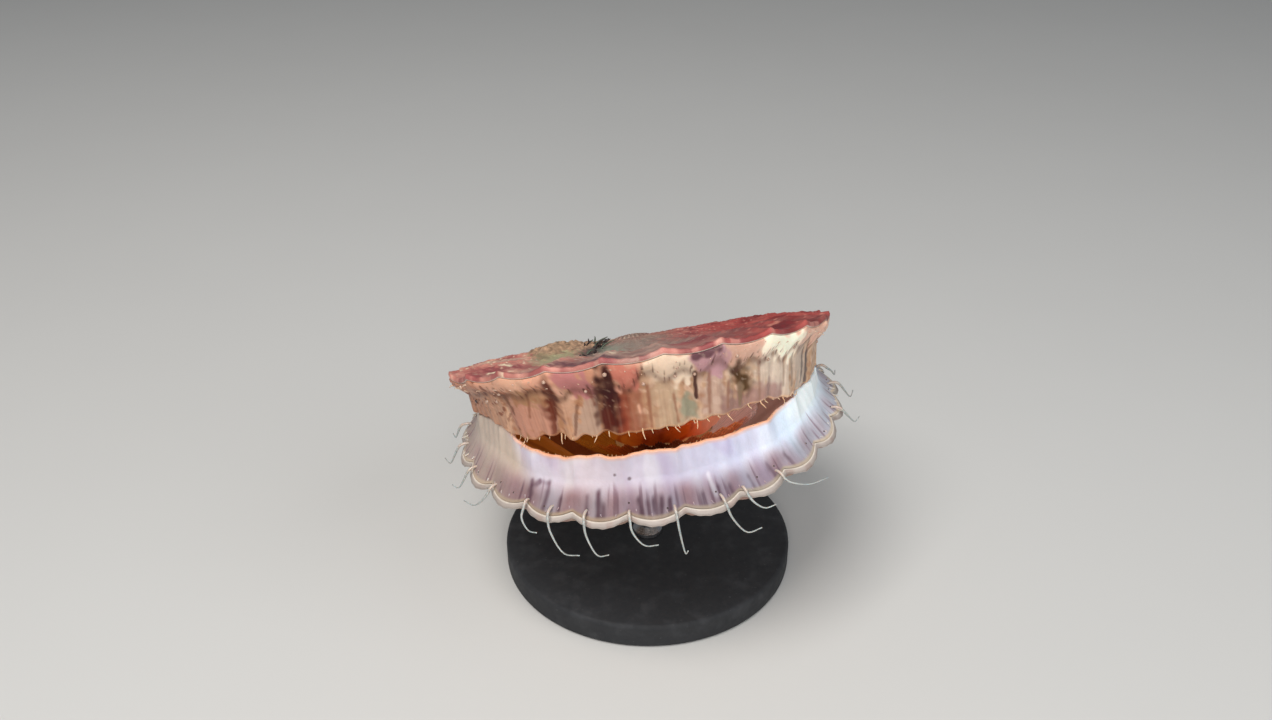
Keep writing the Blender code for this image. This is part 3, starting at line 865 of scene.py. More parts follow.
def dress(piece: Piece, finish: Finish, nodes: Sequence[str] = ()) -> None:
    """Gives a piece its finish and ties it to the model.

    Args:
        piece: The finished mesh.
        finish: What it is made of.
        nodes: The nodes that it stands for.
    """
    piece.data.materials.clear()
    piece.data.materials.append(bpy.data.materials.get(finish.name) or finish.make())
    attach(piece, "root")
    if nodes:
        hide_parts(*nodes)
    LOG.info("%s: %d faces", piece.name, len(piece.data.polygons))


def keep_node(name: str, finish: Finish) -> None:
    """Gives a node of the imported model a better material.

    Args:
        name: The node.
        finish: What it is made of.
    """
    material = bpy.data.materials.get(finish.name) or finish.make()
    for slot in bpy.data.objects[name].material_slots:
        slot.material = material
    LOG.info("%s keeps its solid", name)


@dataclass
class Strand:
    """A round tapering strand, modelled once upright and bent along a path in each copy."""

    sides: int = 8
    rings: int = 18
    pattern: Piece | None = None

    def model(self) -> Piece:
        """The straight strand, one unit long and one in radius.

        Returns:
            The strand.
        """
        bpy.ops.object.select_all(action="DESELECT")
        bpy.ops.mesh.primitive_circle_add(vertices=self.sides, radius=1, fill_type="TRIFAN")
        piece = named("strand_pattern")
        bpy.ops.object.mode_set(mode="EDIT")
        bpy.ops.mesh.select_all(action="SELECT")
        for _ in range(self.rings):
            bpy.ops.mesh.extrude_region_move(TRANSFORM_OT_translate={"value": (0, 0, 1 / self.rings)})
        bpy.ops.mesh.select_all(action="SELECT")
        bpy.ops.mesh.normals_make_consistent(inside=False)
        bpy.ops.object.mode_set(mode="OBJECT")
        bpy.ops.object.shade_smooth()
        return piece

    def bent(self, path: Array, radii: Array, colours: Array) -> Piece:
        """A copy bent along a path.

        Args:
            path: The points of its middle line.
            radii: The radius at each point.
            colours: The colour at each point, or one for all.

        Returns:
            The copy, with its own mesh.
        """
        if self.pattern is None:
            self.pattern = self.model()
        copy = copy_of(self.pattern)
        flat = points_of(self.pattern)
        at = np.clip(flat[:, 2], 0, 1) * (len(path) - 1)
        part = np.minimum(at.astype(int), len(path) - 2)
        share = (at - part)[:, None]
        along = np.gradient(path, axis=0)
        along /= np.linalg.norm(along, axis=1, keepdims=True)
        aside = np.cross(along, np.array([0.31, 0.52, 0.79]))
        aside /= np.linalg.norm(aside, axis=1, keepdims=True)
        across = np.cross(along, aside)

        def read(values: Array) -> Array:
            """The values between the path's points."""
            values = values.reshape(len(path), -1)
            return values[part] * (1 - share) + values[part + 1] * share

        spread = read(radii) * (flat[:, :1] * read(aside) + flat[:, 1:2] * read(across))
        put_points(copy, read(path) + spread)
        put_tint(copy, read(np.array(np.broadcast_to(colours, (len(path), 3)))))
        return copy

    def clear(self) -> None:
        """Removes the pattern."""
        bpy.data.objects.remove(self.pattern)
        self.pattern = None


# The shell


# Where the shell grew slower for a while, as a growth
GROWTH_STEPS = (0.42, 0.61, 0.77, 0.88, 0.945)

# The lumps of the crust: middle, half sizes and height in millimetres of the upper valve's plane
CRUST_LUMPS = (
    (-17.5, -11, 6.4, 4.6, 1.4),
    (-10.5, -13, 4.2, 3.7, 1.0),
    (-21.5, -14, 4.2, 3.6, 1.1),
    (-13.5, -17, 3.2, 2.4, 0.6),
    (-19.5, -20, 3.4, 2.6, 0.5),
)

# Marks on the upper valve, in millimetres of its plane
TOP_MARKS = (
    Mark((-3.0, -24.0), (11.0, -52.0), (9.0, 9.0), (158, 124, 114), 0.75, 0.8),
    Mark((-19.0, -8.0), (-18.6, -56.0), (5.4, 4.4), (172, 142, 112), 0.9, 0.6),
    Mark((-23.0, -12.0), (-21.5, -40.0), (2.0, 1.6), (142, 104, 84), 0.8, 0.6),
    Mark((-17.0, -69.5), (-7.0, -73.5), (2.2, 2.0), (104, 50, 60), 0.9, 0.7),
    Mark((-2.0, -74.0), (15.0, -71.0), (2.4, 2.2), (166, 112, 106), 0.7, 0.8),
    Mark((-8.0, -20.0), (-4.5, -45.0), (3.0, 2.4), (148, 134, 120), 0.7, 0.8),
    Mark((-13.4, -50.0), (-12.4, -46.0), (2.0, 2.6), (58, 40, 38), 0.8, 0.9),
    Mark((-11.8, -36.0), (-10.2, -20.0), (2.2, 2.8), (52, 36, 34), 0.85, 0.9),
    Mark((-33.0, -52.0), (-27.0, -60.5), (2.6, 2.4), (140, 54, 60), 0.85, 0.6),
    Mark((-36.0, -44.0), (-33.0, -50.0), (2.2, 2.2), (158, 70, 70), 0.8, 0.6),
    Mark((25.0, -62.5), (34.0, -54.0), (2.6, 3.2), (138, 52, 58), 0.9, 0.6),
    Mark((33.0, -47.0), (37.0, -42.0), (2.2, 2.2), (156, 66, 66), 0.8, 0.6),
    Mark((-32.2, -55.5), (-31.2, -56.3), (0.6, 0.6), (246, 198, 176), 0.95),
    Mark((-29.6, -49.0), (-28.6, -49.6), (0.9, 0.8), (244, 194, 172), 0.95),
    Mark((27.0, -56.0), (28.2, -55.4), (0.8, 0.8), (246, 198, 172), 0.95),
    Mark((4.0, -66.0), (16.0, -66.5), (1.0, 1.0), (150, 76, 78), 0.8),
)

# The upper valve's painted light and shade from left to right: places in millimetres, and shares of red,
# green and blue
TOP_LIGHT_WASH = ((-34, 0, 12, 22), ((1.15, 1.6, 1.45), (1.05, 1.5, 1.42), (0.86, 0.8, 0.8), (0.7, 0.42, 0.42)))


@dataclass
class ShellValve:
    """One valve: a ribbed fan with growth lines, its two ears and its beak."""

    valve: Valve
    form: ShellForm
    place: Matrix
    columns: int = 420
    rows: int = 150
    ear_length: float = 22 * MM
    ear_notch: float = 1.8 * MM
    ear_reach: float = 0.56

    def relief(self, ray: Array, growth: Array) -> Array:
        """How far the outer face stands over the wall: ribs, fine riblets and growth lines.

        Args:
            ray: Angles at the beak.
            growth: How far out the points lie, 0 at the beak and 1 at the margin.

        Returns:
            A height for each point.
        """
        wave = self.valve.inside * self.form.rib(ray)
        ribs = self.form.rib_height(self.valve) * growth**1.1 * (0.5 + 0.5 * wave)
        degrees = np.degrees(ray)
        riblets = 0.07 * MM * np.cos(2 * math.pi * degrees / 1.76) * ease(growth, 0.25, 0.7)
        stray = 0.5 * waves(degrees / 14, growth * 2, 3, 0.4, 1.4)
        rings = 0.07 * MM * np.abs(np.sin(math.pi * (46 * growth**1.25 + stray))) * ease(growth, 0.1, 0.3)
        steps = sum(0.2 * MM * (ease(growth, mark - 0.012, mark) - growth) for mark in GROWTH_STEPS)
        return ribs + riblets + rings - steps + 0.05 * MM * waves(degrees / 3, growth * 25, 4, 0.4, 1.2)

    def crust(self, x: Array, y: Array) -> Array:
        """The crust on the upper valve, left of the beak, as a height over the shell.

        Args:
            x: Places across the valve's plane.
            y: Places along it.

        Returns:
            A height for each point.
        """
        if self.valve is Valve.LOWER:
            return np.zeros(np.shape(x))
        x, y = x / MM, y / MM
        total = np.zeros(np.shape(x))
        for middle_x, middle_y, half_x, half_y, tall in CRUST_LUMPS:
            away = ((x - middle_x) / half_x) ** 2 + ((y - middle_y) / half_y) ** 2
            total = np.maximum(total, tall * MM * np.clip(1 - away, 0, None) ** 0.5)
        rough = 0.05 * MM * (total > 0) * waves(x, y, 9, 0.8, 1.6)
        return total * (1 + 0.14 * waves(x, y, 8, 0.2, 0.6)) + rough

    def wall(self, growth: Array) -> Array:
        """How thick the wall is, thinner towards the margin."""
        return self.form.wall * (1 - 0.45 * ease(growth, 0.82, 1.0))

    def top(self, x: float, y: float) -> float:
        """Height of the outer face over a place of the upper valve's plane.

        Args:
            x: Places across the valve's plane.
            y: Places along it.

        Returns:
            The height.
        """
        spot = np.array([x]), np.array([y])
        ray, growth = self.form.place(self.valve, *spot)
        outside = self.wall(growth) + self.relief(ray, growth)
        return float((self.form.level(self.valve, ray, growth) + outside + self.crust(*spot))[0])

    def upper_tint(self, ray: Array, growth: Array) -> Array:
        """The upper valve's rose pink with its bands, flecks and marks.

        Args:
            ray: Angles at the beak.
            growth: How far out the points lie, 0 at the beak and 1 at the margin.

        Returns:
            A colour for each point.
        """
        degrees = np.degrees(ray)
        wave = self.valve.inside * self.form.rib(ray)
        cloud = waves(degrees / 9, growth * 7, 21, 0.4, 1.6)
        zone = waves(degrees / 60, growth * 9, 22, 0.6, 1.6)
        grey = waves(degrees / 20, growth * 3, 24, 0.4, 1.4)
        fleck = ease(waves(degrees / 2.1, growth * 34, 23, 0.3, 1.7, 14), 1.15, 1.7)
        tint = np.broadcast_to(paint(202, 112, 104), (*np.shape(growth), 3))
        tint = dab(tint, paint(146, 60, 64), 0.75 * ease(cloud, 0.0, 1.1))
        tint = dab(tint, paint(224, 150, 134), 0.6 * ease(zone, 0.3, 1.4))
        tint = dab(tint, paint(176, 140, 128), 0.55 * ease(grey, 0.3, 1.3))
        tint = dab(tint, paint(240, 190, 168), 0.8 * fleck)
        tint = dab(tint, paint(124, 58, 58), 0.4 * ease(-wave, 0.1, 0.9))
        tint = dab(tint, paint(150, 116, 102), 0.5 * ease(growth, 0.45, 0.1))
        x, y = self.form.flat(self.valve, ray, growth)
        tint = painted(tint, TOP_MARKS, x / MM, y / MM, 25)
        # Painted light and shade: the valve is lighter to the left and darker to the right.
        tint = washed(tint, x / MM, *TOP_LIGHT_WASH)
        edge = ease(growth, 0.93, 0.98)
        dark = ease(waves(degrees / 5, growth * 6, 27, 0.4, 1.5), -0.2, 1.0)
        pale = ease(waves(degrees / 4, growth * 9, 28, 0.4, 1.5), 0.4, 1.2)
        tint = dab(tint, paint(150, 70, 72), 0.6 * edge * dark)
        return dab(tint, paint(226, 158, 142), 0.5 * edge * pale)

    def fan_tint(self, ray: Array, growth: Array) -> Array:
        """The outer face's colours: rays, zones and flecks.

        Args:
            ray: Angles at the beak.
            growth: How far out the points lie, 0 at the beak and 1 at the margin.

        Returns:
            A colour for each point.
        """
        if self.valve is Valve.UPPER:
            return self.upper_tint(ray, growth)
        degrees = np.degrees(ray)
        wave = self.valve.inside * self.form.rib(ray)
        cloud = waves(degrees / 9, growth * 7, 21, 0.4, 1.6)
        zone = waves(degrees / 60, growth * 9, 22, 0.6, 1.6)
        tint = np.broadcast_to(paint(206, 182, 158), (*np.shape(growth), 3))
        tint = dab(tint, paint(176, 128, 116), 0.7 * ease(zone, 0.0, 1.3))
        tint = dab(tint, paint(142, 98, 98), 0.6 * ease(-wave, 0.1, 0.9))
        tint = dab(tint, paint(232, 216, 194), 0.6 * ease(cloud, 0.3, 1.2))
        fleck = ease(waves(degrees / 2.1, growth * 30, 26, 0.3, 1.7, 14), 1.0, 1.6)
        tint = dab(tint, paint(134, 84, 82), 0.6 * fleck)
        # Darker purple-brown towards the margin: partly the valve's own colour, partly painted shade under
        # the rim.
        tint = dab(tint, paint(150, 116, 112), 0.5 * ease(growth, 0.8, 0.93))
        tint = dab(tint, paint(198, 186, 178), 0.9 * ease(growth + 0.004 * cloud, 0.98, 0.992))
        return clouded(tint, (170, 132, 120), 0.35, waves(degrees / 4, growth * 6, 29, 0.4, 1.5), 0.2, 1.2)

    def fan(self) -> Piece:
        """The ribbed fan: outer face, lip and inner face round one closed sheet.

        Returns:
            The fan's mesh.
        """
        form, valve = self.form, self.valve
        ray = np.linspace(-form.fan_half, form.fan_half, self.columns)[None, :]
        ray_out, growth_out = np.broadcast_arrays(ray, (np.linspace(0.012, 1, self.rows) ** 0.9)[:, None])
        ray_in, growth_in = np.broadcast_arrays(ray, np.linspace(1, 0.02, 42)[:, None])
        crust = self.crust(*form.flat(valve, ray_out, growth_out))
        thick = self.wall(growth_out) + self.relief(ray_out, growth_out) + crust
        outer = form.fluted(valve, ray_out, growth_out, thick)
        inner = form.fluted(valve, ray_in, growth_in, form.flute(valve, ray_in, growth_in))
        across = outer[-1] - inner[0]
        way = inner[0] * np.array([1, 1, 0])
        way = way / np.linalg.norm(way, axis=-1, keepdims=True)
        lip = [inner[0] + across * s + way * 0.25 * MM * math.sin(math.pi * s) for s in (0.8, 0.5, 0.2)]
        points = np.concatenate([outer, np.stack(lip), inner])
        tint_out = self.fan_tint(ray_out, growth_out)
        x, y = outer[..., 0] / MM, outer[..., 1] / MM
        brown = np.clip(paint(176, 140, 112) * (1 + 0.25 * waves(x, y, 31, 0.3, 1.2))[..., None], 0, 1)
        tint_out = dab(tint_out, brown, 0.92 * ease(crust, 0.05 * MM, 0.5 * MM))
        edge = np.broadcast_to(tint_out[-1], (3, self.columns, 3))
        # Painted shade: the lower lip's end face darkened and cooled.
        if valve is Valve.LOWER:
            edge = edge * np.array([0.62, 0.74, 0.8])[:, None, None]
        tint_in = np.broadcast_to(paint(232, 222, 208), (*growth_in.shape, 3))
        warm = ease(growth_in, 0.86, 0.97) * (1 - ease(growth_in, 0.985, 1.0))
        tint_in = dab(tint_in, paint(205, 160, 140), 0.7 * warm)
        right = ease(np.degrees(ray_in), 6, 16)[..., None]
        deep = (1 - right) * paint(196, 116, 50) + right * paint(232, 200, 190)
        tint_in = dab(tint_in, deep, 0.92 * ease(growth_in, 0.86, 0.76))
        colours = np.concatenate([tint_out, edge, tint_in])
        return sheet("fan", looped(points), looped(colours), self.place)

    def ear(self, side: float) -> Piece:
        """One ear: a flat plate with growth lines that follow its side edge.

        Args:
            side: -1 for the left ear and 1 for the right one.

        Returns:
            The ear's mesh.
        """
        form, way = self.form, -self.valve.inside
        along = np.linspace(0, 1, 46)
        x, y = form.flat(Valve.LOWER, np.full(46, form.fan_half), 0.02 + (self.ear_reach - 0.02) * along)
        square = np.stack([-y, x], axis=-1) / np.hypot(x, y)[:, None]
        shoulder = np.stack([x, y], axis=-1) + square * 0.9 * MM
        shoulder[0] = (-1.5 * MM, 0)
        hinge_end = np.array([self.ear_length, 0])
        edge = hinge_end + (shoulder[-1] - hinge_end) * along[:, None]
        edge[:, 0] -= self.ear_notch * np.sin(math.pi * along)
        share = np.linspace(0, 1, 60)[:, None] * np.ones((1, 46))
        flat = shoulder * (1 - share[..., None]) + edge * share[..., None]
        lines = 0.08 * MM * np.abs(np.sin(math.pi * 11 * share**1.3))
        lines = lines + 0.14 * MM * np.sin(2 * math.pi * along * 3.5) * share
        rim = np.clip(1 - np.abs(2 * share - 1) ** 18, 0, 1) ** 0.5
        rim = rim * np.clip(1 - np.abs(2 * along - 1) ** 24, 0, 1) ** 0.5
        top = form.hinge_gap + (0.85 * form.wall + lines) * (0.35 + 0.65 * rim)
        flat = np.stack([flat[..., 0] * side, flat[..., 1]], axis=-1)
        upper = np.concatenate([flat, (way * top)[..., None]], axis=-1)
        lower = np.concatenate([flat, np.full((60, 46, 1), way * form.hinge_gap)], axis=-1)[::-1]
        cloud = 0.6 * ease(waves(share * 9, along * 2, 41, 0.5, 1.4), 0, 1.2)
        if self.valve is Valve.UPPER:
            tint = dab(np.broadcast_to(paint(196, 124, 112), upper.shape), paint(152, 78, 72), cloud)
        else:
            tint = dab(np.broadcast_to(paint(228, 210, 190), upper.shape), paint(200, 160, 142), cloud)
        points = np.concatenate([upper, lower])
        colours = np.concatenate([tint, np.broadcast_to(paint(226, 212, 196), lower.shape)])
        return sheet("ear", looped(points), looped(colours), self.place)

    def beak(self) -> Piece:
        """The beak, a knob over the hinge's middle that the fan's ribs and growth lines run up.

        Returns:
            The beak's mesh.
        """
        bpy.ops.object.select_all(action="DESELECT")
        bpy.ops.mesh.primitive_uv_sphere_add(segments=96, ring_count=40, radius=1)
        piece = named("beak")
        upper = self.valve is Valve.UPPER
        size, middle = ((5.0, 3.2, 1.1), (0, -3.4, 1.75)) if upper else ((6.2, 4.6, 4.6), (0, -3.4, -5.1))
        flat = points_of(piece)
        spot = flat * np.array(size) + np.array(middle)
        ray = np.arctan2(spot[:, 0], 1.2 - spot[:, 1])
        away = np.hypot(spot[:, 0], 1.2 - spot[:, 1])
        wave = self.valve.inside * self.form.rib(ray)
        ribs = 0.3 * (0.5 + 0.5 * wave) * ease(away, 0.8, 3.5)
        rise = ribs + 0.07 * np.sin(2 * math.pi * away / 0.7 + 0.5 * wave)
        put_points(piece, placed((spot + flat * rise[:, None]) * MM, self.place))
        tint = self.fan_tint(ray, 0.1 + 0.02 * away)
        # Painted shade: the rib grooves on the beak darkened.
        tint = dab(tint, 0.45 * tint, 0.7 * ease(-wave, 0.0, 0.9) * ease(away, 0.8, 3.0))
        worn = ease(waves(spot[:, 0], spot[:, 1], 36, 0.3, 1.2), 0, 1.2)
        put_tint(piece, dab(tint, paint(150, 112, 100), 0.5 * worn))
        only(piece)
        bpy.ops.object.shade_smooth()
        return piece

    def build(self) -> None:
        """The whole valve as one piece."""
        whole = joined(f"shell_{self.valve.value}", [self.fan(), self.ear(-1), self.ear(1), self.beak()])
        dress(whole, SHELL_FINISH, [f"valve_{self.valve.value}"])


@dataclass
class WeedTuft:
    """A dark tuft of weed that trails over the crust of the upper valve."""

    shell: ShellValve
    strands: int = 64
    tallest: float = 2.0 * MM

    def build(self) -> None:
        """The tuft as one piece."""
        chance = np.random.default_rng(77)
        strand = Strand(sides=5, rings=6)
        steps = np.linspace(0, 1, 7)[:, None]
        made = []
        for _ in range(self.strands):
            share = (0.12, 0.5, 0.55, 1.0, 1.0, 1.0)[int(chance.integers(6))]
            x = (-12.6 + 3.2 * share + chance.normal(0, 1.3)) * MM
            y = (-52 + 34 * share + chance.normal(0, 2.6)) * MM
            foot = np.array([x, y, self.shell.top(x, y) - 0.2 * MM])
            lean = np.array([chance.normal(0.5, 0.4), chance.normal(0.3, 0.4), 1.0])
            tall = self.tallest * chance.uniform(0.35, 1.0) * (0.3 + 0.7 * share)
            curl = np.array([chance.normal(0.4, 0.8), chance.normal(0.4, 0.8), -0.5])
            path = placed(foot + tall * (lean * steps + curl * steps**2 * 0.6), self.shell.place)
            green = chance.random() < 0.3 * share
            tint = paint(*((92, 100, 84) if green else np.array([46, 32, 30]) + chance.uniform(-10, 14)))
            made.append(strand.bent(path, np.linspace(0.3, 0.1, 7) * MM, tint))
        strand.clear()
        dress(joined("weed_tuft", made), WEED_FINISH)


# The mantle

ROSE_TAN, DARK_SPOT, PURPLE_BROWN = (206, 168, 152), (54, 26, 22), (116, 80, 100)

UPPER_MARKS = (
    Mark((-38, 0.5), (-31, 0.7), (5.0, 3.6), (206, 192, 172), 0.8, 0.6),
    Mark((-22.8, 0.12), (-21.6, 0.5), (1.9, 2.3), (184, 158, 124), 0.8),
    Mark((-25.6, 0.62), (-19.0, 0.74), (2.1, 2.1), ROSE_TAN, 0.9, 0.3),
    Mark((-14.6, 0.3), (-14.8, 0.5), (1.4, 1.6), (206, 180, 160), 0.7),
    Mark((-10.7, 0.46), (-12.0, 0.94), (1.3, 3.0), (190, 174, 160), 0.95, 0.3),
    Mark((-3.8, 0.36), (-4.6, 0.92), (1.8, 2.2), (150, 92, 68), 0.85, 0.7),
    Mark((-5.4, 0.44), (-6.2, 0.9), (0.9, 1.3), (140, 56, 30), 0.8, 0.7),
    Mark((1.6, 0.45), (1.8, 0.9), (2.2, 2.4), (186, 164, 136), 0.75),
    Mark((4.6, 0.72), (5.6, 0.8), (1.2, 1.3), (138, 144, 122), 0.8),
    Mark((9.6, 0.4), (10.0, 0.85), (2.3, 2.4), (184, 158, 142), 0.7),
    Mark((20.6, 0.42), (24.2, 0.7), (3.2, 3.0), (198, 178, 158), 0.8),
    Mark((12.6, 0.98), (22.6, 0.98), (2.0, 2.2), (148, 112, 102), 0.9),
    Mark((29.5, 0.4), (32.0, 0.85), (2.0, 2.4), (184, 166, 148), 0.8),
    Mark((-30.5, 0.06), (-20.5, 0.05), (0.9, 0.8), (238, 208, 186), 0.95, 0.4),
    Mark((-19.4, 0.03), (-15.8, 0.03), (0.8, 0.9), (248, 206, 184), 0.95, 0.4),
    Mark((-13.6, 0.04), (-10.8, 0.2), (1.3, 1.5), (198, 142, 148), 0.95, 0.3),
    Mark((-5.2, 0.08), (-3.2, 0.16), (1.3, 1.2), (204, 128, 112), 0.9, 0.4),
    Mark((-0.2, 0.08), (5.2, 0.2), (1.1, 1.4), (236, 216, 190), 0.95, 0.3),
    Mark((6.6, 0.03), (10.6, 0.2), (1.0, 1.4), (190, 146, 150), 0.95, 0.3),
    Mark((6.2, 0.01), (9.9, 0.01), (0.5, 0.5), (88, 52, 60), 0.9, 0.4),
    Mark((19.0, 0.08), (27.0, 0.2), (1.0, 1.3), (246, 226, 198), 0.95, 0.3),
    Mark((-28.2, 0.52), (-30.2, 1.0), (0.55, 0.6), (232, 214, 188), 0.95, 0.3),
    Mark((-16.4, 0.14), (-17.8, 0.52), (0.8, 1.5), (98, 38, 16), 0.96, 0.7),
    Mark((-17.9, 0.52), (-19.0, 0.97), (0.9, 0.5), (112, 52, 30), 0.85, 0.7),
    Mark((-7.0, 0.1), (-7.2, 0.34), (0.9, 1.2), (60, 8, 4), 0.98, 0.5),
    Mark((-7.6, 0.44), (-8.1, 0.74), (2.1, 1.9), (58, 6, 2), 0.98, 0.6),
    Mark((-8.3, 0.78), (-8.7, 1.0), (1.5, 1.0), (84, 26, 10), 0.95, 0.6),
    Mark((6.6, 0.26), (6.7, 0.62), (0.36, 0.28), (62, 28, 24), 0.95, 0.4),
    Mark((14.0, 0.36), (16.0, 0.6), (1.0, 1.3), (70, 44, 14), 0.97, 0.7),
    Mark((14.9, 0.62), (14.8, 0.88), (0.7, 0.4), (136, 110, 84), 0.8),
    Mark((34.2, 0.42), (35.2, 1.0), (0.7, 0.5), (84, 76, 74), 0.9),
    Mark((31.2, 0.28), (32.2, 0.86), (0.35, 0.3), (98, 88, 82), 0.8),
    Mark((27.4, 0.3), (27.8, 0.8), (0.3, 0.3), (126, 108, 94), 0.7),
    Mark((-13.0, 0.5), (-14.6, 0.92), (0.3, 0.24), (120, 84, 64), 0.7),
    Mark((-26.8, 0.16), (-26.4, 0.5), (0.5, 0.4), (126, 90, 66), 0.75),
    Mark((-1.1, 0.32), (-1.3, 0.96), (0.28, 0.24), (136, 84, 60), 0.75, 1.0),
    Mark((2.9, 0.5), (3.2, 0.92), (0.22, 0.2), (144, 96, 70), 0.7, 1.0),
    Mark((9.0, 0.3), (8.8, 0.92), (0.3, 0.26), (134, 90, 70), 0.75, 1.0),
    Mark((12.2, 0.5), (12.0, 0.9), (0.26, 0.24), (128, 84, 66), 0.7, 1.0),
    Mark((18.4, 0.28), (18.8, 0.92), (0.3, 0.26), (140, 102, 82), 0.7, 1.0),
    Mark((-21.4, 0.2), (-22.6, 0.6), (0.28, 0.24), (136, 92, 66), 0.7, 1.0),
    Mark((-10.4, 0.26), (-10.0, 0.5), (0.26, 0.22), (120, 72, 54), 0.75, 1.0),
    Mark((24.6, 0.26), (25.2, 0.8), (0.26, 0.24), (134, 106, 88), 0.65, 1.0),
    # Painted highlights: small pale glints on the curtain.
    Mark((-5.6, 0.28), (-5.4, 0.33), (0.4, 0.3), (240, 180, 158), 0.8, 0.8),
    Mark((-3.0, 0.6), (-2.9, 0.68), (0.26, 0.3), (236, 190, 164), 0.7, 0.9),
    Mark((-15.2, 0.2), (-15.0, 0.24), (0.36, 0.4), (244, 206, 186), 0.8, 0.8),
    Mark((-13.7, 0.32), (-13.4, 0.35), (0.34, 0.3), (240, 210, 190), 0.75, 0.8),
)
UPPER_EYES = (
    (-37.6, 0.06, 0.5),
    (-50.8, 0.5, 0.45),
    (-39.0, 0.52, 0.45),
    (-33.0, 0.38, 0.5),
    (-29.8, 0.32, 0.4),
    (-27.2, 0.18, 0.4),
    (-16.4, 0.09, 0.42),
    (-10.8, 0.26, 0.36),
    (-6.9, 0.1, 0.46),
    (-1.6, 0.27, 0.42),
    (3.4, 0.24, 0.34),
    (3.7, 0.14, 0.3),
    (6.6, 0.26, 0.36),
    (13.2, 0.13, 0.42),
    (20.4, 0.3, 0.36),
    (27.0, 0.2, 0.3),
    (41.5, 0.3, 0.36),
    (47.0, 0.34, 0.34),
    (53.0, 0.3, 0.36),
    (-45.0, 0.3, 0.36),
    (-57.0, 0.4, 0.32),
)
LOWER_STREAKS = (
    ((-24.1, 0.32), (-23.8, 0.0), 0.42, 0.8),
    ((-22.5, 0.34), (-23.9, 0.24), 0.3, 0.7),
    ((-20.5, 0.36), (-20.7, 0.0), 0.38, 0.75),
    ((-22.4, 0.36), (-20.6, 0.35), 0.24, 0.4),
    ((-18.0, 0.18), (-18.0, 0.0), 0.3, 0.6),
    ((-13.4, 0.22), (-13.2, 0.04), 0.3, 0.65),
    ((-11.5, 0.26), (-11.4, 0.0), 0.42, 0.95),
    ((-10.5, 0.12), (-10.6, 0.0), 0.34, 0.8),
    ((-5.0, 0.18), (-4.6, 0.0), 0.36, 0.9),
    ((-3.7, 0.14), (-3.6, 0.0), 0.26, 0.7),
    ((-2.7, 0.16), (-2.5, 0.0), 0.34, 0.85),
    ((-1.5, 0.18), (-1.8, 0.0), 0.4, 0.95),
    ((-0.3, 0.14), (-0.6, 0.0), 0.32, 0.85),
    ((4.9, 0.14), (4.8, 0.0), 0.3, 0.75),
    ((7.6, 0.16), (7.6, 0.0), 0.26, 0.7),
    ((9.4, 0.12), (9.6, 0.0), 0.34, 0.75),
    ((13.0, 0.16), (13.2, 0.0), 0.28, 0.6),
    ((17.0, 0.2), (17.4, 0.02), 0.3, 0.6),
    ((21.0, 0.18), (21.6, 0.02), 0.3, 0.55),
)


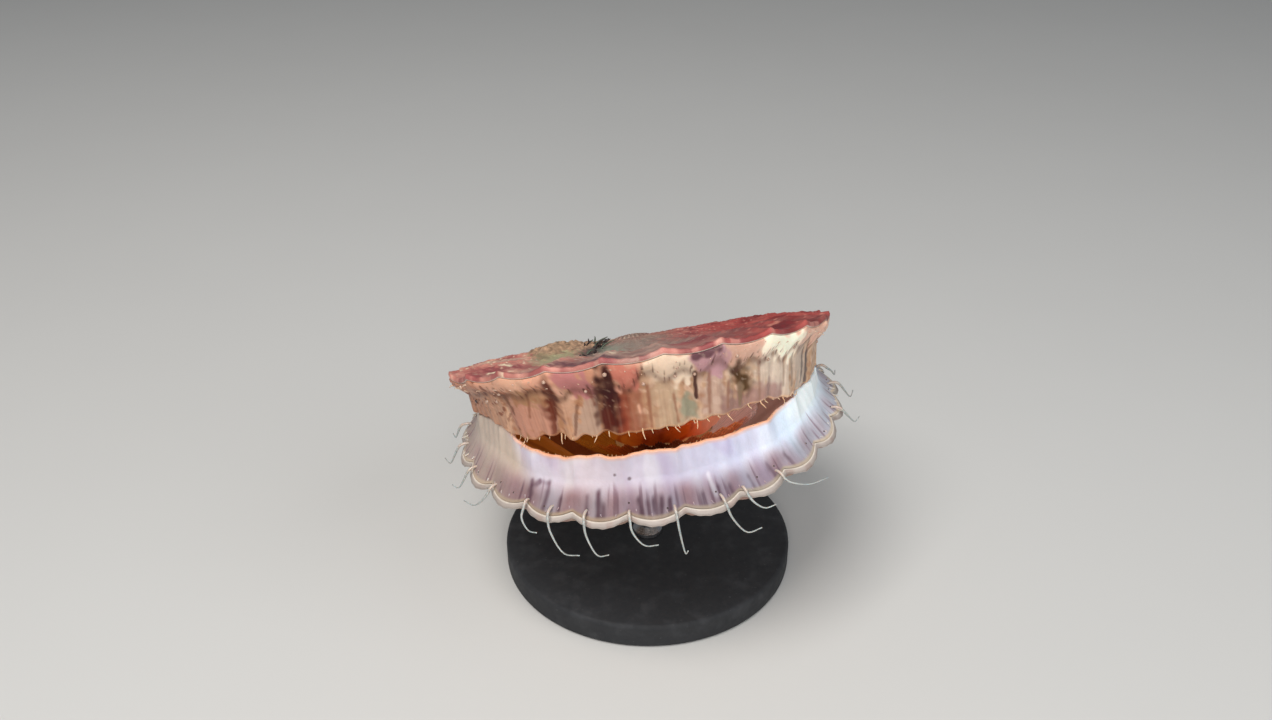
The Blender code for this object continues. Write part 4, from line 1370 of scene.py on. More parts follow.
@dataclass
class MantleLobe:
    """One lobe of the mantle in one skin: its lining, and the curtain that spreads to the lip at its foot."""

    valve: Valve
    form: ShellForm
    curtain: CurtainForm
    place: Matrix
    columns: int = 720
    face_rows: int = 84
    unit: float = 7.5

    def wrinkles(self, ray: Array, share: Array) -> Array:
        """Pleats of the curtain, as a change of its place across the slit.

        Args:
            ray: Angles at the beak.
            share: How far up the curtain the points lie, 0 at its foot and 1 at its edge.

        Returns:
            How far in each point moves.
        """
        degrees = np.degrees(ray)
        fine = waves(degrees / 2.2, share * 0.5, 51, 0.5, 1.5)
        broad = waves(degrees / 9, share * 0.9, 52, 0.5, 1.4)
        if self.valve is Valve.LOWER:
            ribbed = waves(degrees / 1.1, share * 0.2, 55, 0.5, 1.5) * ease(share, 0.45, 0.1)
            ribbed = ribbed * (1 - 0.7 * ease(np.abs(degrees), 26, 42))
            return MM * (share * (0.06 * fine + 0.3 * broad) + 0.09 * ribbed)
        grooves = (
            (-28.6, 0.5, 0.9, 0.4),
            (-16.6, -2.2, 1.0, 0.5),
            (-7.2, -0.8, 1.7, 0.6),
            (-1.6, 0.0, 0.8, 0.25),
            (6.6, 0.0, 0.8, 0.4),
            (14.0, 1.6, 1.4, 0.45),
            (21.2, 0.4, 0.8, 0.2),
            (27.2, 0.8, 1.0, 0.35),
            (33.6, 1.4, 1.2, 0.45),
        )
        sunk = sum(
            deep * hill(degrees - drift * share, middle, width) for middle, drift, width, deep in grooves
        )
        return MM * (0.12 * share * fine + 0.22 * share * broad + sunk * ease(share, 0.08, 0.4))

    def edge_wave(self, ray: Array) -> Array:
        """Small rises and dips of the curtain's free edge.

        Args:
            ray: Angles at the beak.

        Returns:
            A rise for each ray.
        """
        degrees = np.degrees(ray)
        size = 0.35 if self.valve is Valve.UPPER else 0.12
        return MM * size * waves(degrees / 5, 0, 53, 0.5, 1.6) * (1 - ease(np.abs(degrees), 30, 45))

    def band(self, degrees: Array) -> Array:
        """How far up the curtain the swollen fold along the upper shell's edge reaches."""
        return np.clip(0.2 + 0.075 * waves(degrees / 5, 0, 91, 0.5, 1.5), 0.1, 0.34)

    def face(self, ray: Array, share: Array, wall: Array) -> Array:
        """Points of one face of the curtain with its pleats, from its foot at share 0 to its edge at 1.

        Args:
            ray: Angles at the beak.
            share: How far up the curtain the points lie, 0 at its foot and 1 at its edge.
            wall: How far behind the outer face the points lie.

        Returns:
            The points.
        """
        curtain, form, valve = self.curtain, self.form, self.valve
        tall = curtain.height(valve, ray) + self.edge_wave(ray)
        inset = curtain.foot + curtain.lean(valve) * tall * share + curtain.wave * form.rib(ray) * share
        inset = inset + wall + self.wrinkles(ray, share)
        return form.margin(valve, ray, inset, curtain.foot_level + (tall - curtain.foot_level) * share)

    def front(self, ray: Array, share: Array) -> Array:
        """Points of the outer face, which spreads out to the shell's lip at its foot.

        Args:
            ray: Angles at the beak.
            share: How far up the curtain the points lie, 0 at its foot and 1 at its edge.

        Returns:
            The points.
        """
        degrees = np.degrees(ray)
        if self.valve is Valve.UPPER:
            within = np.clip(share / self.band(degrees), 0, 1)
            turn = degrees / 6.2 + 0.4 * waves(degrees / 12, 0, 92, 0.5, 1.4)
            lobes = 0.62 + 0.38 * np.abs(np.sin(math.pi * turn))
            swell, reach = 0.85 * MM * lobes * np.sin(math.pi * within) ** 0.75, 0.4
        else:
            swell, reach = 0.0, 0.5
        drop = np.clip(1 - share / reach, 0, 1) ** 1.7
        foot = self.form.lip(self.valve, ray, 1.0, 0.1 * MM)
        base = self.face(ray, np.zeros(()), np.zeros(()))
        return self.face(ray, share, -swell) + drop[..., None] * (foot - base)

    def spot(self, degrees: float, share: float) -> Array:
        """One point of the outer face, in the model's frame."""
        return placed(self.front(np.array([[math.radians(degrees)]]), np.array([[share]])), self.place)[0]

    def skin(self) -> Piece:
        """The lining and curtain as one closed skin.

        Returns:
            The lobe's mesh.
        """
        form, valve, curtain = self.form, self.valve, self.curtain
        ray = np.linspace(-curtain.end, curtain.end, self.columns)
        under = [form.lining(valve, ray, inset * MM, 0.12 * MM) for inset in (26, 20, 13, 6)]
        under += [form.lip(valve, ray, growth, 0.12 * MM) for growth in (0.97, 1.0)]
        outside = round_rows(under, (2, 2, 3, 4, 3))
        share = (np.linspace(0.012, 0.985, self.face_rows) ** 1.15)[:, None]
        front = self.front(ray[None, :], share)
        tips = ((1.0, 0.1 * MM), (1.012, 0.38 * curtain.wall), (0.998, 0.62 * curtain.wall))
        edge = np.stack([self.face(ray, at, wall) for at, wall in tips])
        back_share = np.linspace(0.96, 0.04, 14)[:, None]
        back = self.face(ray[None, :], back_share, curtain.wall * (0.7 + 0.6 * (1 - back_share)))
        over = [
            form.lining(valve, ray, inset * MM, lift * MM)
            for inset, lift in ((5.6, 1.25), (9, 1.15), (13, 1.0), (20, 0.75), (26, 0.45))
        ]
        inside = round_rows([back[-1], *over], (4, 3, 4, 5, 4))[1:]
        blocks = [outside, front, edge, back, inside]
        points = np.concatenate(blocks)
        middle = points.mean(axis=0, keepdims=True)
        closing = 1 - 0.65 * ease(np.degrees(np.abs(ray)), 62, 65)
        points = middle + (points - middle) * closing[None, :, None]
        kinds = np.concatenate([np.full(len(block), kind) for kind, block in enumerate(blocks)])
        up = (np.zeros(len(outside)), share[:, 0], np.ones(3), back_share[:, 0], np.zeros(len(inside)))
        colours = self.tint(ray, kinds, np.concatenate(up))
        return sheet(f"mantle_{valve.value}", looped(points), looped(colours), self.place)

    def tint(self, ray: Array, kinds: Array, shares: Array) -> Array:
        """The colours of the skin.

        Args:
            ray: The ray of each column.
            kinds: What each row is: 0 the lining's underside, 1 front face, 2 edge, 3 back face, 4 lining.
            shares: How far up the curtain each row is.

        Returns:
            A colour for each point, rows by columns by 3.
        """
        degrees, share = np.broadcast_arrays(np.degrees(ray)[None, :], shares[:, None])
        paint_face = self.upper_face if self.valve is Valve.UPPER else self.lower_face
        face = paint_face(degrees, share)
        inner = np.broadcast_to(paint(222, 98, 32), face.shape)
        inner = dab(inner, paint(226, 150, 60), 0.9 * ease(degrees, -9, -18))
        # Painted shadow: near-black in the slit's middle.
        inner = dab(inner, paint(60, 12, 5), 0.85 * hill(degrees, -4, 7))
        inner = dab(inner, paint(238, 208, 198), 0.94 * ease(degrees, 11, 19))
        inner = clouded(inner, (140, 54, 18), 0.5, waves(degrees / 6, share * 2, 61, 0.4, 1.4), 0.1, 1.2)
        return np.clip(np.where(kinds[:, None, None] <= 2, face, inner), 0.001, 1)

    def upper_face(self, degrees: Array, share: Array) -> Array:
        """The upper curtain's fold, panels, bars and blotches.

        Args:
            degrees: Rays in degrees.
            share: How far up the curtain the points lie, 0 at its foot and 1 at its edge.

        Returns:
            A colour for each point.
        """
        tint = np.broadcast_to(paint(182, 146, 114), (*degrees.shape, 3))
        tint = clouded(tint, (212, 182, 154), 0.6, waves(degrees / 4, share * 2, 64, 0.4, 1.5), 0.2, 1.3)
        tint = clouded(tint, (140, 92, 64), 0.6, waves(degrees / 3, share * 4, 65, 0.5, 1.4), 0.4, 1.4)
        tint = clouded(tint, (150, 100, 74), 0.45, waves(degrees / 1.8, share * 5, 94, 0.4, 1.4), 0.4, 1.3)
        tint = clouded(tint, (232, 202, 178), 0.35, waves(degrees / 2.2, share * 4, 95, 0.4, 1.4), 0.4, 1.3)
        band = self.band(degrees)
        within = ease(share, band + 0.03, band - 0.03)
        tint = dab(tint, paint(214, 168, 146), 0.8 * within)
        rust = ease(waves(degrees / 1.3, share * 7, 67, 0.5, 1.3), 0.8, 1.3)
        left = ease(degrees, -24, -30)
        tint = painted(tint, UPPER_MARKS, degrees, share, 68, self.unit)
        tint = dab(tint, paint(124, 66, 40), 0.75 * rust * left * ease(share, 0.85, 0.6))
        speck = ease(waves(degrees / 1.0, share * 9, 69, 0.5, 1.4), 1.1, 1.6) * ease(share, 0.7, 0.5)
        tint = dab(tint, paint(236, 212, 188), 0.7 * speck * (0.2 + 0.8 * left))
        lines = ease(waves(degrees / 0.7, share * 0.12, 66, 0.5, 1.5), 0.2, 1.2) * ease(share, 0.3, 0.5)
        tint = dab(tint, paint(140, 106, 84), 0.18 * lines)
        shade = 0.5 * ease(share, band - 0.02, band + 0.03) * ease(share, band + 0.14, band + 0.04)
        tint = dab(tint, paint(92, 56, 44), shade)
        # Painted shade: dark spots in the notches along the top of the swollen fold.
        notch = ease(waves(degrees / 0.8, share * 9, 93, 0.5, 1.4), 0.85, 1.3) * hill(share, band, 0.07)
        tint = dab(tint, paint(84, 46, 38), 0.8 * notch)
        # Painted light: the curtain's free edge lit peach.
        tint = dab(tint, paint(226, 176, 128), 0.4 * ease(share, 0.965, 0.99))
        # Painted light and shade across the curtain: darker to the left, lighter to the right.
        places = (-38, -20, -9, 0, 12, 23, 33)
        shares = (
            (0.7, 0.44, 0.38),
            (0.76, 0.58, 0.5),
            (0.78, 0.62, 0.54),
            (0.88, 0.8, 0.78),
            (0.95, 0.93, 0.95),
            (1.28, 1.34, 1.42),
            (1.16, 1.16, 1.2),
        )
        return washed(tint, degrees, places, shares)

    def lower_face(self, degrees: Array, share: Array) -> Array:
        """The lower curtain's satin, its streaked foot and its glowing edge.

        Args:
            degrees: Rays in degrees.
            share: How far up the curtain the points lie, 0 at its foot and 1 at its edge.

        Returns:
            A colour for each point.
        """
        tint = np.broadcast_to(paint(222, 220, 238), (*degrees.shape, 3))
        tint = clouded(tint, (200, 188, 218), 0.65, waves(degrees / 7, share * 0.7, 71, 0.4, 1.4), 0.0, 1.3)
        # Painted highlights: white clouds on the satin.
        tint = clouded(tint, (240, 242, 250), 0.55, waves(degrees / 6, share * 0.8, 72, 0.4, 1.5), 0.1, 1.5)
        tint = dab(tint, paint(206, 224, 242), 0.85 * ease(degrees, 15, 25))
        # Painted highlight: the right end's pale sheen.
        tint = dab(tint, paint(240, 248, 254), 0.75 * ease(degrees, 22, 30) * ease(share, 0.25, 0.6))
        tint = dab(tint, paint(204, 186, 166), 0.9 * ease(degrees + 6 * share, -19, -27))
        mauve = ease(share, 0.46, 0.16) * (0.6 + 0.2 * waves(degrees / 5, share, 75, 0.4, 1.4))
        tint = dab(tint, paint(198, 160, 170), mauve * (1 - 0.5 * ease(np.abs(degrees), 26, 36)))
        streak = ease(waves(degrees / 0.8, share * 0.25, 73, 0.5, 1.5), 0.5, 1.2)
        reach = 0.2 + 0.12 * waves(degrees / 3, 0, 74, 0.5, 1.4)
        tint = dab(tint, paint(132, 94, 112), 0.65 * streak * ease(reach - share, -0.1, 0.1))
        marks = [
            Mark(top, low, (wide, wide), PURPLE_BROWN, strong, 1.0)
            for top, low, wide, strong in LOWER_STREAKS
        ]
        specks = ((-8.6, 0.6), (-6.2, 0.5))
        marks += [Mark(spot, spot, (0.26, 0.26), (110, 92, 100), 0.8) for spot in specks]
        marks.append(Mark((6.6, 0.34), (6.9, 0.12), (0.3, 0.3), (252, 246, 254), 0.8, 0.9))
        tint = painted(tint, marks, degrees, share, 76, self.unit)
        tint = dab(tint, paint(232, 212, 186), 0.85 * ease(share, 0.05, 0.015))
        # Painted light and shade across the curtain: darker towards the middle, lighter to the right.
        places = (-45, -27, -14, 0, 12, 26, 40)
        shares = (
            (0.86, 0.84, 0.84),
            (0.84, 0.8, 0.78),
            (0.8, 0.7, 0.63),
            (0.68, 0.64, 0.65),
            (0.79, 0.81, 0.84),
            (1.14, 1.12, 1.08),
            (1.14, 1.12, 1.06),
        )
        tint = washed(tint, degrees, places, shares)
        shade = 0.49 * ease(share, 0.42, 0.12) * (1 - 0.5 * ease(np.abs(degrees), 24, 40))
        tint = tint * (1 - shade)[..., None]
        glow = ease(np.abs(degrees + 2), 32, 22)
        tint = dab(tint, paint(222, 170, 138), 0.55 * ease(share, 0.9, 0.975) * glow)
        return dab(tint, paint(238, 170, 126), 0.8 * ease(share, 0.976, 0.992) * glow)

    def build(self) -> None:
        """The skin, standing for the lobe's nodes."""
        places = ("far_left", "left", "front", "right", "far_right")
        nodes = [f"{layer}_{self.valve.value}_{place}" for layer in ("mantle", "velum") for place in places]
        dress(self.skin(), SKIN_FINISH, nodes)


@dataclass
class Tentacles:
    """The long tentacles that trail over the lower shell's edge, and the short ones on the curtains."""

    form: ShellForm
    curtain: CurtainForm
    pose: Pose
    front: tuple[tuple[float, float, float, float], ...] = (
        (-31.9, 2.6, 3.0, -4.5),
        (-23.9, 1.4, 3.3, 4.8),
        (-19.0, 3.2, 6.2, 7.6),
        (-13.2, 2.6, 6.2, 5.2),
        (-6.5, 2.8, 4.0, 5.3),
        (0.3, 2.4, 7.2, 1.0),
        (7.5, 3.6, 5.7, 5.0),
        (11.3, 2.2, 2.5, 4.0),
        (17.8, 4.4, 1.6, 6.5),
    )
    sides: tuple[tuple[float, float, float, float], ...] = (
        (39.5, 2.4, 3.4, 2.2),
        (48.5, 2.8, 4.2, 2.6),
        (56.0, 2.0, 3.0, 1.8),
    )
    edge: tuple[tuple[float, float, float], ...] = (
        (-26, 2.6, -1.0),
        (-17.5, 2.2, 0.5),
        (-11, 1.9, -0.6),
        (-3, 2.3, 0.4),
        (2.5, 1.8, 0.8),
        (6.5, 2.1, -0.5),
        (12, 2.3, 0.7),
        (19, 2.0, 0.5),
        (25.5, 1.9, -0.8),
    )
    strand: Strand = field(default_factory=lambda: Strand(8, 26))

    def along(self, valve: Valve, rays: Array, insets: Array, heights: Array) -> Array:
        """A rounded path through points by ray, inset and height, in the model's frame.

        Args:
            valve: The valve.
            rays: The rays of the path's points.
            insets: Their distances in from the margin, in millimetres.
            heights: Their heights over the valve's plane, in millimetres.

        Returns:
            The points.
        """
        points = self.form.margin(valve, rays, insets * MM, heights * MM)
        path = round_rows([p[None] for p in points], (4,) * (len(points) - 1))[:, 0]
        return placed(path, self.pose.plane(valve))

    def trailing(self, degrees: float, out: float, fall: float, drift: float) -> Piece:
        """A long tentacle that bends over the lower shell's edge, hangs down and hooks up at its tip.

        Args:
            degrees: Its ray in degrees.
            out: How far out of the margin the tip lies, in millimetres.
            fall: How far it hangs down, in millimetres.
            drift: How far its tip lies aside, in millimetres.

        Returns:
            The tentacle.
        """
        ray = math.radians(degrees)
        rib = float(self.form.rib(np.array([ray]))[0])
        lip = 0.45 * self.form.lower_rib / MM * rib
        share = np.array([0, 0, 0, 0.03, 0.12, 0.5, 1])
        insets = np.array([0.9, 0.2, -0.9 - lip, -1.9 - lip, -2.8 - 0.2 * out, -3 - 0.6 * out, -3 - out])
        heights = np.array([-0.3, 0.3, 0.15, -0.9, -0.8 - 0.45 * fall, -0.8 - fall, -0.8 - 0.85 * fall])
        path = self.along(Valve.LOWER, ray + drift * MM / self.form.reach(ray) * share, insets, heights)
        at = np.linspace(0, 1, len(path))
        radii = MM * (0.22 + 0.1 * ease(at, 0.0, 0.35) - 0.2 * ease(at, 0.3, 1.0))
        tint = np.broadcast_to(paint(168, 174, 172), (len(path), 3))
        tint = dab(tint, paint(132, 138, 136), 0.4 + 0.4 * np.sin(at * 60))
        return self.strand.bent(path, radii, dab(tint, paint(192, 176, 164), ease(at, 0.5, 0.34)))

    def short(self, valve: Valve, degrees: float, length: float, drift: float, tint: Array) -> Piece:
        """A short tentacle on a curtain's edge.

        Args:
            valve: The valve.
            degrees: Its ray in degrees.
            length: Its length in millimetres.
            drift: How far its tip lies aside, in millimetres.
            tint: Its colour.

        Returns:
            The tentacle.
        """
        ray = math.radians(degrees)
        tall = float(self.curtain.height(valve, np.array([ray]))[0]) / MM
        rib = float(self.form.rib(np.array([ray]))[0])
        inset = (self.curtain.foot + self.curtain.wave * rib) / MM + self.curtain.lean(valve) * tall + 0.5
        turn = drift * MM / self.form.reach(ray)
        rays = np.array([ray, ray, ray + 0.4 * turn, ray + turn])
        insets = inset - np.array([0, 0.2, 0.7, 1.0]) * min(1.0, length)
        path = self.along(valve, rays, insets, tall + np.array([-1.0, 0.2 * length, 0.6 * length, length]))
        radii = MM * np.linspace(0.26, 0.09, len(path)) * (0.4 + 0.5 * min(1.0, length / 2))
        return self.strand.bent(path, radii, tint)

    def fringe(self, lobe: MantleLobe, chance: np.random.Generator, count: int) -> list[Piece]:
        """Small tentacles on a curtain's foot, more of them towards the hinge.

        Args:
            lobe: The lobe that carries them.
            chance: The seeded draws.
            count: How many there are.

        Returns:
            The tentacles.
        """
        made = []
        upper = lobe.valve is Valve.UPPER
        near, far = ((206, 160, 136), (222, 186, 160)) if upper else ((172, 144, 148), (214, 198, 184))
        for degrees in np.linspace(-62, 62, count):
            side = float(ease(abs(degrees), 22, 40))
            at = degrees + chance.uniform(-0.7, 0.7)
            root = 0.04 + 0.14 * chance.random() if upper else 0.03 + 0.05 * chance.random()
            foot = lobe.spot(at, root)
            out = foot - lobe.spot(at, 0.75)
            out[2] = 0.3 * out[2]
            out = out / np.linalg.norm(out)
            size = MM * chance.uniform(0.4, 0.7) * (1 + (1.3 if upper else 0.8) * side)
            lean = -0.7 if upper else -0.1
            aside = np.array([chance.uniform(-0.5, 0.5), 0, lean + chance.uniform(-0.3, 0.5)])
            steps = np.linspace(0, 1, 6)[:, None]
            path = foot - 0.15 * MM * out + size * (steps * out + steps**2 * aside)
            tint = (1 - side) * paint(*near) + side * paint(*far)
            made.append(self.strand.bent(path, np.linspace(0.15, 0.07, 6) * (1 + 0.4 * side) * MM, tint))
        return made

    def build(self, lower_lobe: MantleLobe, upper_lobe: MantleLobe) -> None:
        """All the tentacles, one piece for each lobe.

        Args:
            lower_lobe: The lower lobe of the mantle.
            upper_lobe: The upper one.
        """
        chance = np.random.default_rng(5)
        lower = [self.trailing(*numbers) for numbers in self.front]
        for degrees, out, fall, drift in self.sides:
            lower += [self.trailing(side * degrees, out, fall, side * drift) for side in (-1, 1)]
        self.strand.clear()
        self.strand = Strand(6, 8)
        lower += self.fringe(lower_lobe, chance, 52)
        for degrees in np.linspace(-30, 30, 60):
            at, length = degrees + chance.uniform(-0.45, 0.45), chance.uniform(0.18, 0.5)
            lower.append(self.short(Valve.LOWER, at, length, 0.1, paint(240, 178, 128)))
        dress(joined("tentacles_lower", lower), STRAND_FINISH)
        upper = self.fringe(upper_lobe, chance, 50)
        for degrees, length, drift in self.edge:
            upper.append(self.short(Valve.UPPER, degrees, 0.75 * length, drift, paint(222, 168, 130)))
        for degrees in np.linspace(-29, 29, 26):
            at, length = degrees + chance.uniform(-0.9, 0.9), chance.uniform(0.3, 0.9)
            upper.append(self.short(Valve.UPPER, at, length, 0.2, paint(230, 188, 146)))
        self.strand.clear()
        dress(joined("tentacles_upper", upper), STRAND_FINISH)


@dataclass
class Eyes:
    """The small dark shining eyes along both lobes."""

    def build(self, lobe: MantleLobe) -> None:
        """The eyes of one lobe: a bead with a dark lens and a pale foot, modelled once and copied.

        Args:
            lobe: The lobe that carries them.
        """
        bpy.ops.object.select_all(action="DESELECT")
        bpy.ops.mesh.primitive_uv_sphere_add(segments=14, ring_count=10, radius=1)
        pattern = named("eye_pattern")
        bpy.ops.object.shade_smooth()
        flat = points_of(pattern)
        upper = lobe.valve is Valve.UPPER
        chance = np.random.default_rng(12)
        places = UPPER_EYES
        if not upper:
            rays = np.linspace(-58, 58, 19)
            places = [(ray + chance.uniform(-1.6, 1.6), 0.06 + 0.08 * chance.random(), 0.2) for ray in rays]
        tint = np.broadcast_to(paint(*DARK_SPOT), flat.shape)
        made = []
        for degrees, share, size in places:
            foot = lobe.spot(degrees, share)
            across = lobe.spot(degrees + 0.3, share) - foot
            out = np.cross(across, lobe.spot(degrees, share + 0.03) - foot)
            out = out / np.linalg.norm(out)
            out = out if out @ (foot - lobe.spot(degrees, 0.9) * np.array([1, 1, 0])) > 0 else -out
            copy = copy_of(pattern)
            put_points(copy, foot + flat * size * MM - 0.1 * size * MM * out)
            ring = ease(flat @ out, 0.35, 0.1)
            put_tint(copy, dab(tint, paint(196, 160, 138), 0.8 * ring))
            made.append(copy)
        bpy.data.objects.remove(pattern)
        dress(joined(f"eyes_{lobe.valve.value}", made), EYE_FINISH)


# The soft body between the valves


@dataclass
class SoftBody:
    """The muscle, the gonad round its front, and the two gills."""

    form: ShellForm
    pose: Pose
    radius: float = 11 * MM
    middle: tuple[float, float] = (2.5 * MM, -33 * MM)
    touch: float = 0.3 * MM

    def around(self, angle: Array, distance: Array, height: Array) -> Array:
        """Points round the muscle's axis. Angle 0 is the front.

        Args:
            angle: Angles round the axis.
            distance: Distances from the axis.
            height: Heights in the animal's frame.

        Returns:
            The points.
        """
        angle, distance, height = np.broadcast_arrays(angle, distance, height)
        x = self.middle[0] + distance * np.sin(angle)
        y = self.middle[1] - distance * np.cos(angle)
        return np.stack([x, y, height], axis=-1)

    def shell_level(self, valve: Valve, x: Array, y: Array) -> Array:
        """Height of a valve's inner face in the animal's frame.

        Args:
            valve: The valve.
            x: Places across the animal's frame.
            y: Places along it.

        Returns:
            A height for each point.
        """
        turn = valve.inside * self.pose.gape / 2
        height = np.zeros(np.shape(x))
        for _ in range(14):
            flat_y = y * math.cos(turn) + height * math.sin(turn)
            flat_z = -y * math.sin(turn) + height * math.cos(turn)
            face_z = self.form.level(valve, *self.form.place(valve, x, flat_y))
            height = height - (flat_z - face_z) / math.cos(turn)
        return height

    def muscle(self) -> None:
        """The muscle, a bundled column from valve to valve."""
        turn = np.linspace(0, 2 * math.pi, 181)[None, :]
        share = np.linspace(0, 1, 42)[:, None]
        bundle = 0.1 * MM * waves(np.cos(turn) * 14, np.sin(turn) * 14, 81, 0.4, 1.4)
        flat = self.around(turn, self.radius * (1 - 0.05 * np.sin(math.pi * share)) + bundle, 0.0)
        low = self.shell_level(Valve.LOWER, flat[..., 0], flat[..., 1]) - 0.1 * MM
        high = self.shell_level(Valve.UPPER, flat[..., 0], flat[..., 1]) + 0.1 * MM
        flat[..., 2] = low + (high - low) * share
        fibres = ease(waves(np.cos(turn) * 20, np.sin(turn) * 20 + 0 * share, 82, 0.4, 1.4), 0.1, 1.2)
        tint = dab(np.broadcast_to(paint(214, 164, 108), flat.shape), paint(178, 120, 66), 0.6 * fibres)
        dress(sheet("adductor", flat, tint, self.pose.animal()), FLESH_FINISH, ["adductor_muscle"])

    def gonad(self) -> None:
        """The gonad, a tongue round the muscle's front: orange roe, paler towards its left root."""
        share = np.linspace(-1, 1, 120)[None, :]
        turn = np.linspace(0, 2 * math.pi, 49)[:, None]
        swell = np.maximum(0.12, (1 - np.abs(share) ** 2.6) ** 0.5)
        lobes = 1 + 0.05 * waves(share * 5, turn, 83, 0.4, 1.3)
        middle = self.radius + self.touch + 3.4 * MM * swell * 0.9
        distance = np.maximum(middle + 3.4 * MM * swell * lobes * np.cos(turn), self.radius + self.touch)
        height = -6.2 * MM + 4.6 * MM * swell * lobes * np.sin(turn)
        points = self.around(math.radians(78) * share, distance, height)
        tint = np.broadcast_to(paint(226, 92, 24), points.shape)
        tint = dab(tint, paint(196, 116, 36), 0.9 * ease(share + 0 * turn, -0.1, -0.6))
        tint = clouded(tint, (150, 40, 10), 0.6, waves(share * 8, turn, 84, 0.4, 1.5), 0.2, 1.2)
        # Painted shadow: dark across the middle, where the slit lies in shade.
        tint = dab(tint, paint(96, 20, 8), 0.7 * hill(share + 0 * turn, -0.1, 0.24))
        tint = dab(tint, paint(240, 168, 134), 0.9 * ease(share + 0 * turn, 0.16, 0.5))
        dress(sheet("gonad_tongue", points, tint, self.pose.animal()), FLESH_FINISH, ["gonad"])

    def gill(self, name: str, root: float, edge: float) -> None:
        """A gill: two leaves of fine filaments that spread round the muscle.

        Args:
            name: The node that it stands for.
            root: The level of its root.
            edge: The level of its free edge.
        """
        side = np.linspace(-1, 1, 521)[None, :]
        share = np.linspace(0, 1, 26)[:, None]
        made = []
        for leaf, (drop, reach) in enumerate(((0.45, 1.0), (-0.75, 0.9))):
            span = (29.5 - 11) * MM * np.clip(1 - np.abs(side) ** 2.5, 0, 1) ** 0.5 * share * reach
            distance = self.radius + self.touch + 0.15 * MM + np.maximum(span, 1.6 * MM * share)
            flute = 0.42 * MM * (0.3 + 0.7 * share) * np.sin(22 * math.pi * side + leaf)
            thread = 0.16 * MM * np.sin(130 * math.pi * side) * ease(share, 0.02, 0.2)
            level = root + (edge - root) * share**1.4 + flute + drop * MM * share + thread
            half = 0.34 * MM * np.clip(1 - share**9, 0.12, 1) ** 0.5
            top = self.around(math.radians(74) * side, distance, level + half)
            under = self.around(math.radians(74) * side, distance, level - half)[::-1]
            wide = side + 0 * share
            tint = np.broadcast_to(paint(196, 84, 26), top.shape)
            tint = dab(tint, paint(176, 106, 30), 0.95 * ease(wide, -0.3, -0.5))
            # Painted shadow: near-black where the slit's middle lies in shade.
            tint = dab(tint, paint(44, 8, 3), 0.98 * hill(wide, -0.08, 0.24))
            tint = dab(tint, paint(242, 146, 94), 0.85 * hill(wide, 0.32, 0.18))
            tint = dab(tint, paint(232, 200, 190), 0.92 * ease(wide, 0.4, 0.58))
            tint = dab(tint, paint(70, 26, 12), 0.22 - 0.22 * np.sin(130 * math.pi * wide))
            points, colours = np.concatenate([top, under]), np.concatenate([tint, tint[::-1]])
            made.append(sheet("leaf", looped(points), looped(colours), self.pose.animal()))
        dress(joined(f"{name}_leaves", made), FLESH_FINISH, [name])

    def build(self) -> None:
        """All the organs that show through the slit."""
        self.muscle()
        self.gonad()
        self.gill("gill_upper", 3.2 * MM, -1.2 * MM)
        self.gill("gill_lower", -13.5 * MM, -6.0 * MM)


# The stand and the studio


@dataclass
class Stand:
    """The round stone base; the steel rod keeps its solid."""

    radius: float = 34 * MM
    height: float = 6 * MM
    rounding: float = 1.0 * MM

    def build(self) -> None:
        """The base, a disc with a rounded edge, and the rod's steel."""
        bpy.ops.object.select_all(action="DESELECT")
        middle = (0, 0, self.height / 2)
        bpy.ops.mesh.primitive_cylinder_add(
            vertices=128, radius=self.radius, depth=self.height, location=middle
        )
        piece = named("base_disc")
        bpy.ops.object.transform_apply(location=True, rotation=True, scale=True)
        bpy.ops.object.mode_set(mode="EDIT")
        bpy.ops.mesh.select_mode(type="EDGE")
        bpy.ops.mesh.select_all(action="DESELECT")
        bpy.ops.mesh.edges_select_sharp(sharpness=math.radians(60))
        bpy.ops.mesh.bevel(offset=self.rounding, segments=5, affect="EDGES")
        bpy.ops.object.mode_set(mode="OBJECT")
        bpy.ops.object.shade_smooth_by_angle(angle=math.radians(40))
        dress(piece, STONE_FINISH, ["stand_base"])
        keep_node("stand_rod", STEEL_FINISH)


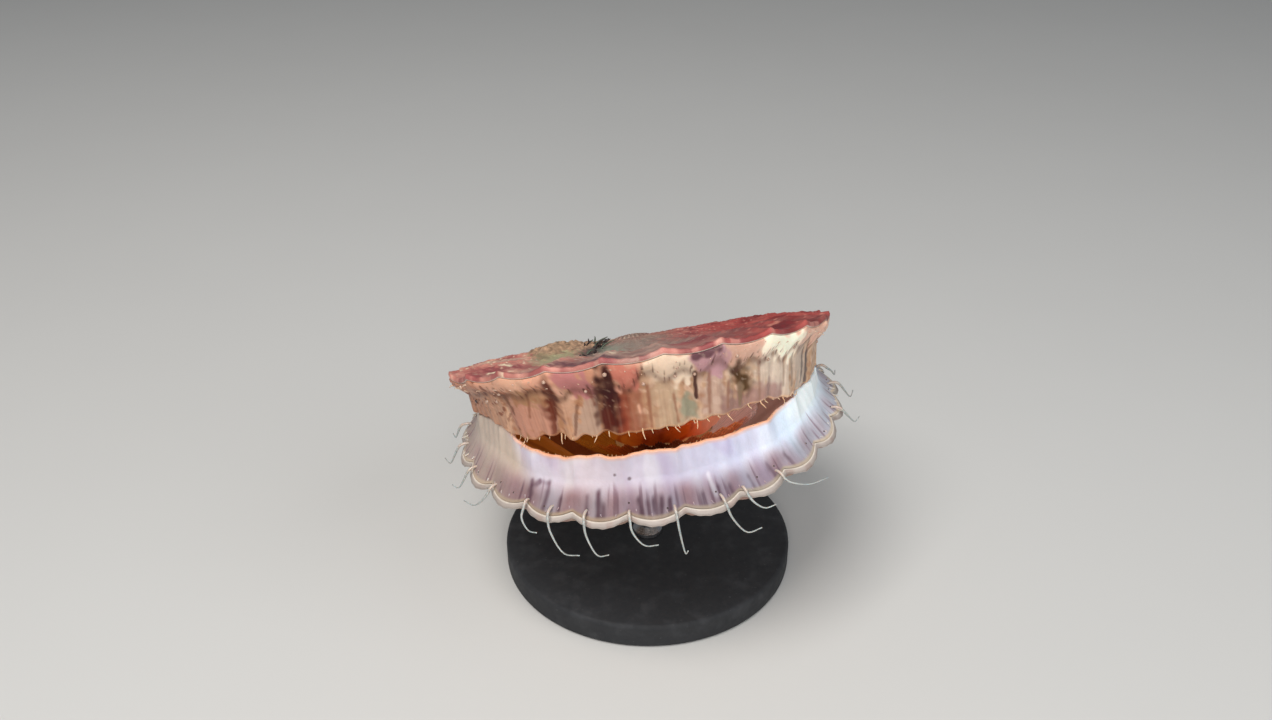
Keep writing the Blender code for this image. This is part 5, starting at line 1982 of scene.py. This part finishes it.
@dataclass
class Studio:
    """A pale floor, soft lights and the camera at the photograph's angle."""

    floor_size: float = 6.0
    camera_place: tuple[float, float, float] = (-2.78 * MM, -231.204 * MM, 187.107 * MM)
    lens: float = 33.96

    def floor(self) -> None:
        """A wide pale floor."""
        bpy.ops.object.select_all(action="DESELECT")
        bpy.ops.mesh.primitive_grid_add(x_subdivisions=8, y_subdivisions=8, size=self.floor_size)
        piece = named("studio_floor")
        finish = Finish("studio_paper", (0.62, 0.61, 0.59), 0.85, 0.05, 0.06, 3, bump=0.02, bump_scale=60)
        piece.data.materials.append(finish.make())

    def light(
        self, name: str, place: Sequence[float], size: float, power: float, colour: Sequence[float]
    ) -> None:
        """A square soft light that points at the animal.

        Args:
            name: The light's name.
            place: Where it hangs.
            size: Its side.
            power: Its power in watts.
            colour: Its colour.
        """
        bpy.ops.object.light_add(type="AREA", location=place)
        made = bpy.context.active_object
        made.name = name
        made.data.size = size
        made.data.energy = power
        made.data.color = colour
        made.rotation_euler = (Vector((0, 0, 0.045)) - Vector(place)).to_track_quat("-Z", "Y").to_euler()

    def camera(self) -> None:
        """The camera, level in roll and looking down by 30 degrees."""
        bpy.ops.object.camera_add(location=self.camera_place, rotation=(math.radians(60), 0, 0))
        made = bpy.context.active_object
        made.name = "photo_view"
        made.data.lens = self.lens
        made.data.sensor_width = 36
        made.data.clip_start = 0.005
        bpy.context.scene.camera = made

    def build(self) -> None:
        """The whole studio."""
        world = bpy.data.worlds.new("soft_room")
        world.use_nodes = True
        world.node_tree.nodes["Background"].inputs["Color"].default_value = (0.84, 0.9, 0.97, 1)
        world.node_tree.nodes["Background"].inputs["Strength"].default_value = 0.2
        bpy.context.scene.world = world
        bpy.context.scene.view_settings.view_transform = "Standard"
        self.floor()
        self.light("key", (-0.2, -0.3, 0.75), 0.4, 4.9, (1.0, 0.98, 0.95))
        self.light("fill", (0.55, -0.35, 0.5), 0.5, 1.4, (0.88, 0.94, 1.0))
        self.light("front", (0.0, -0.5, 0.27), 0.25, 1.2, (1.0, 0.98, 0.95))
        self.camera()


def main() -> None:
    """Builds every piece in order."""
    pose, form = Pose(), ShellForm()
    curtain = CurtainForm(form, pose.gape)
    shells = [ShellValve(valve, form, pose.plane(valve)) for valve in Valve]
    lobes = [MantleLobe(valve, form, curtain, pose.plane(valve)) for valve in Valve]
    for shell in shells:
        shell.build()
    WeedTuft(shells[0]).build()
    for lobe in lobes:
        lobe.build()
        Eyes().build(lobe)
    Tentacles(form, curtain, pose).build(lobes[1], lobes[0])
    SoftBody(form, pose).build()
    keep_node("hinge_ligament", HORN_FINISH)
    Stand().build()
    Studio().build()


if __name__ == "__main__":
    logging.basicConfig(level=logging.INFO, format="%(message)s")
    main()
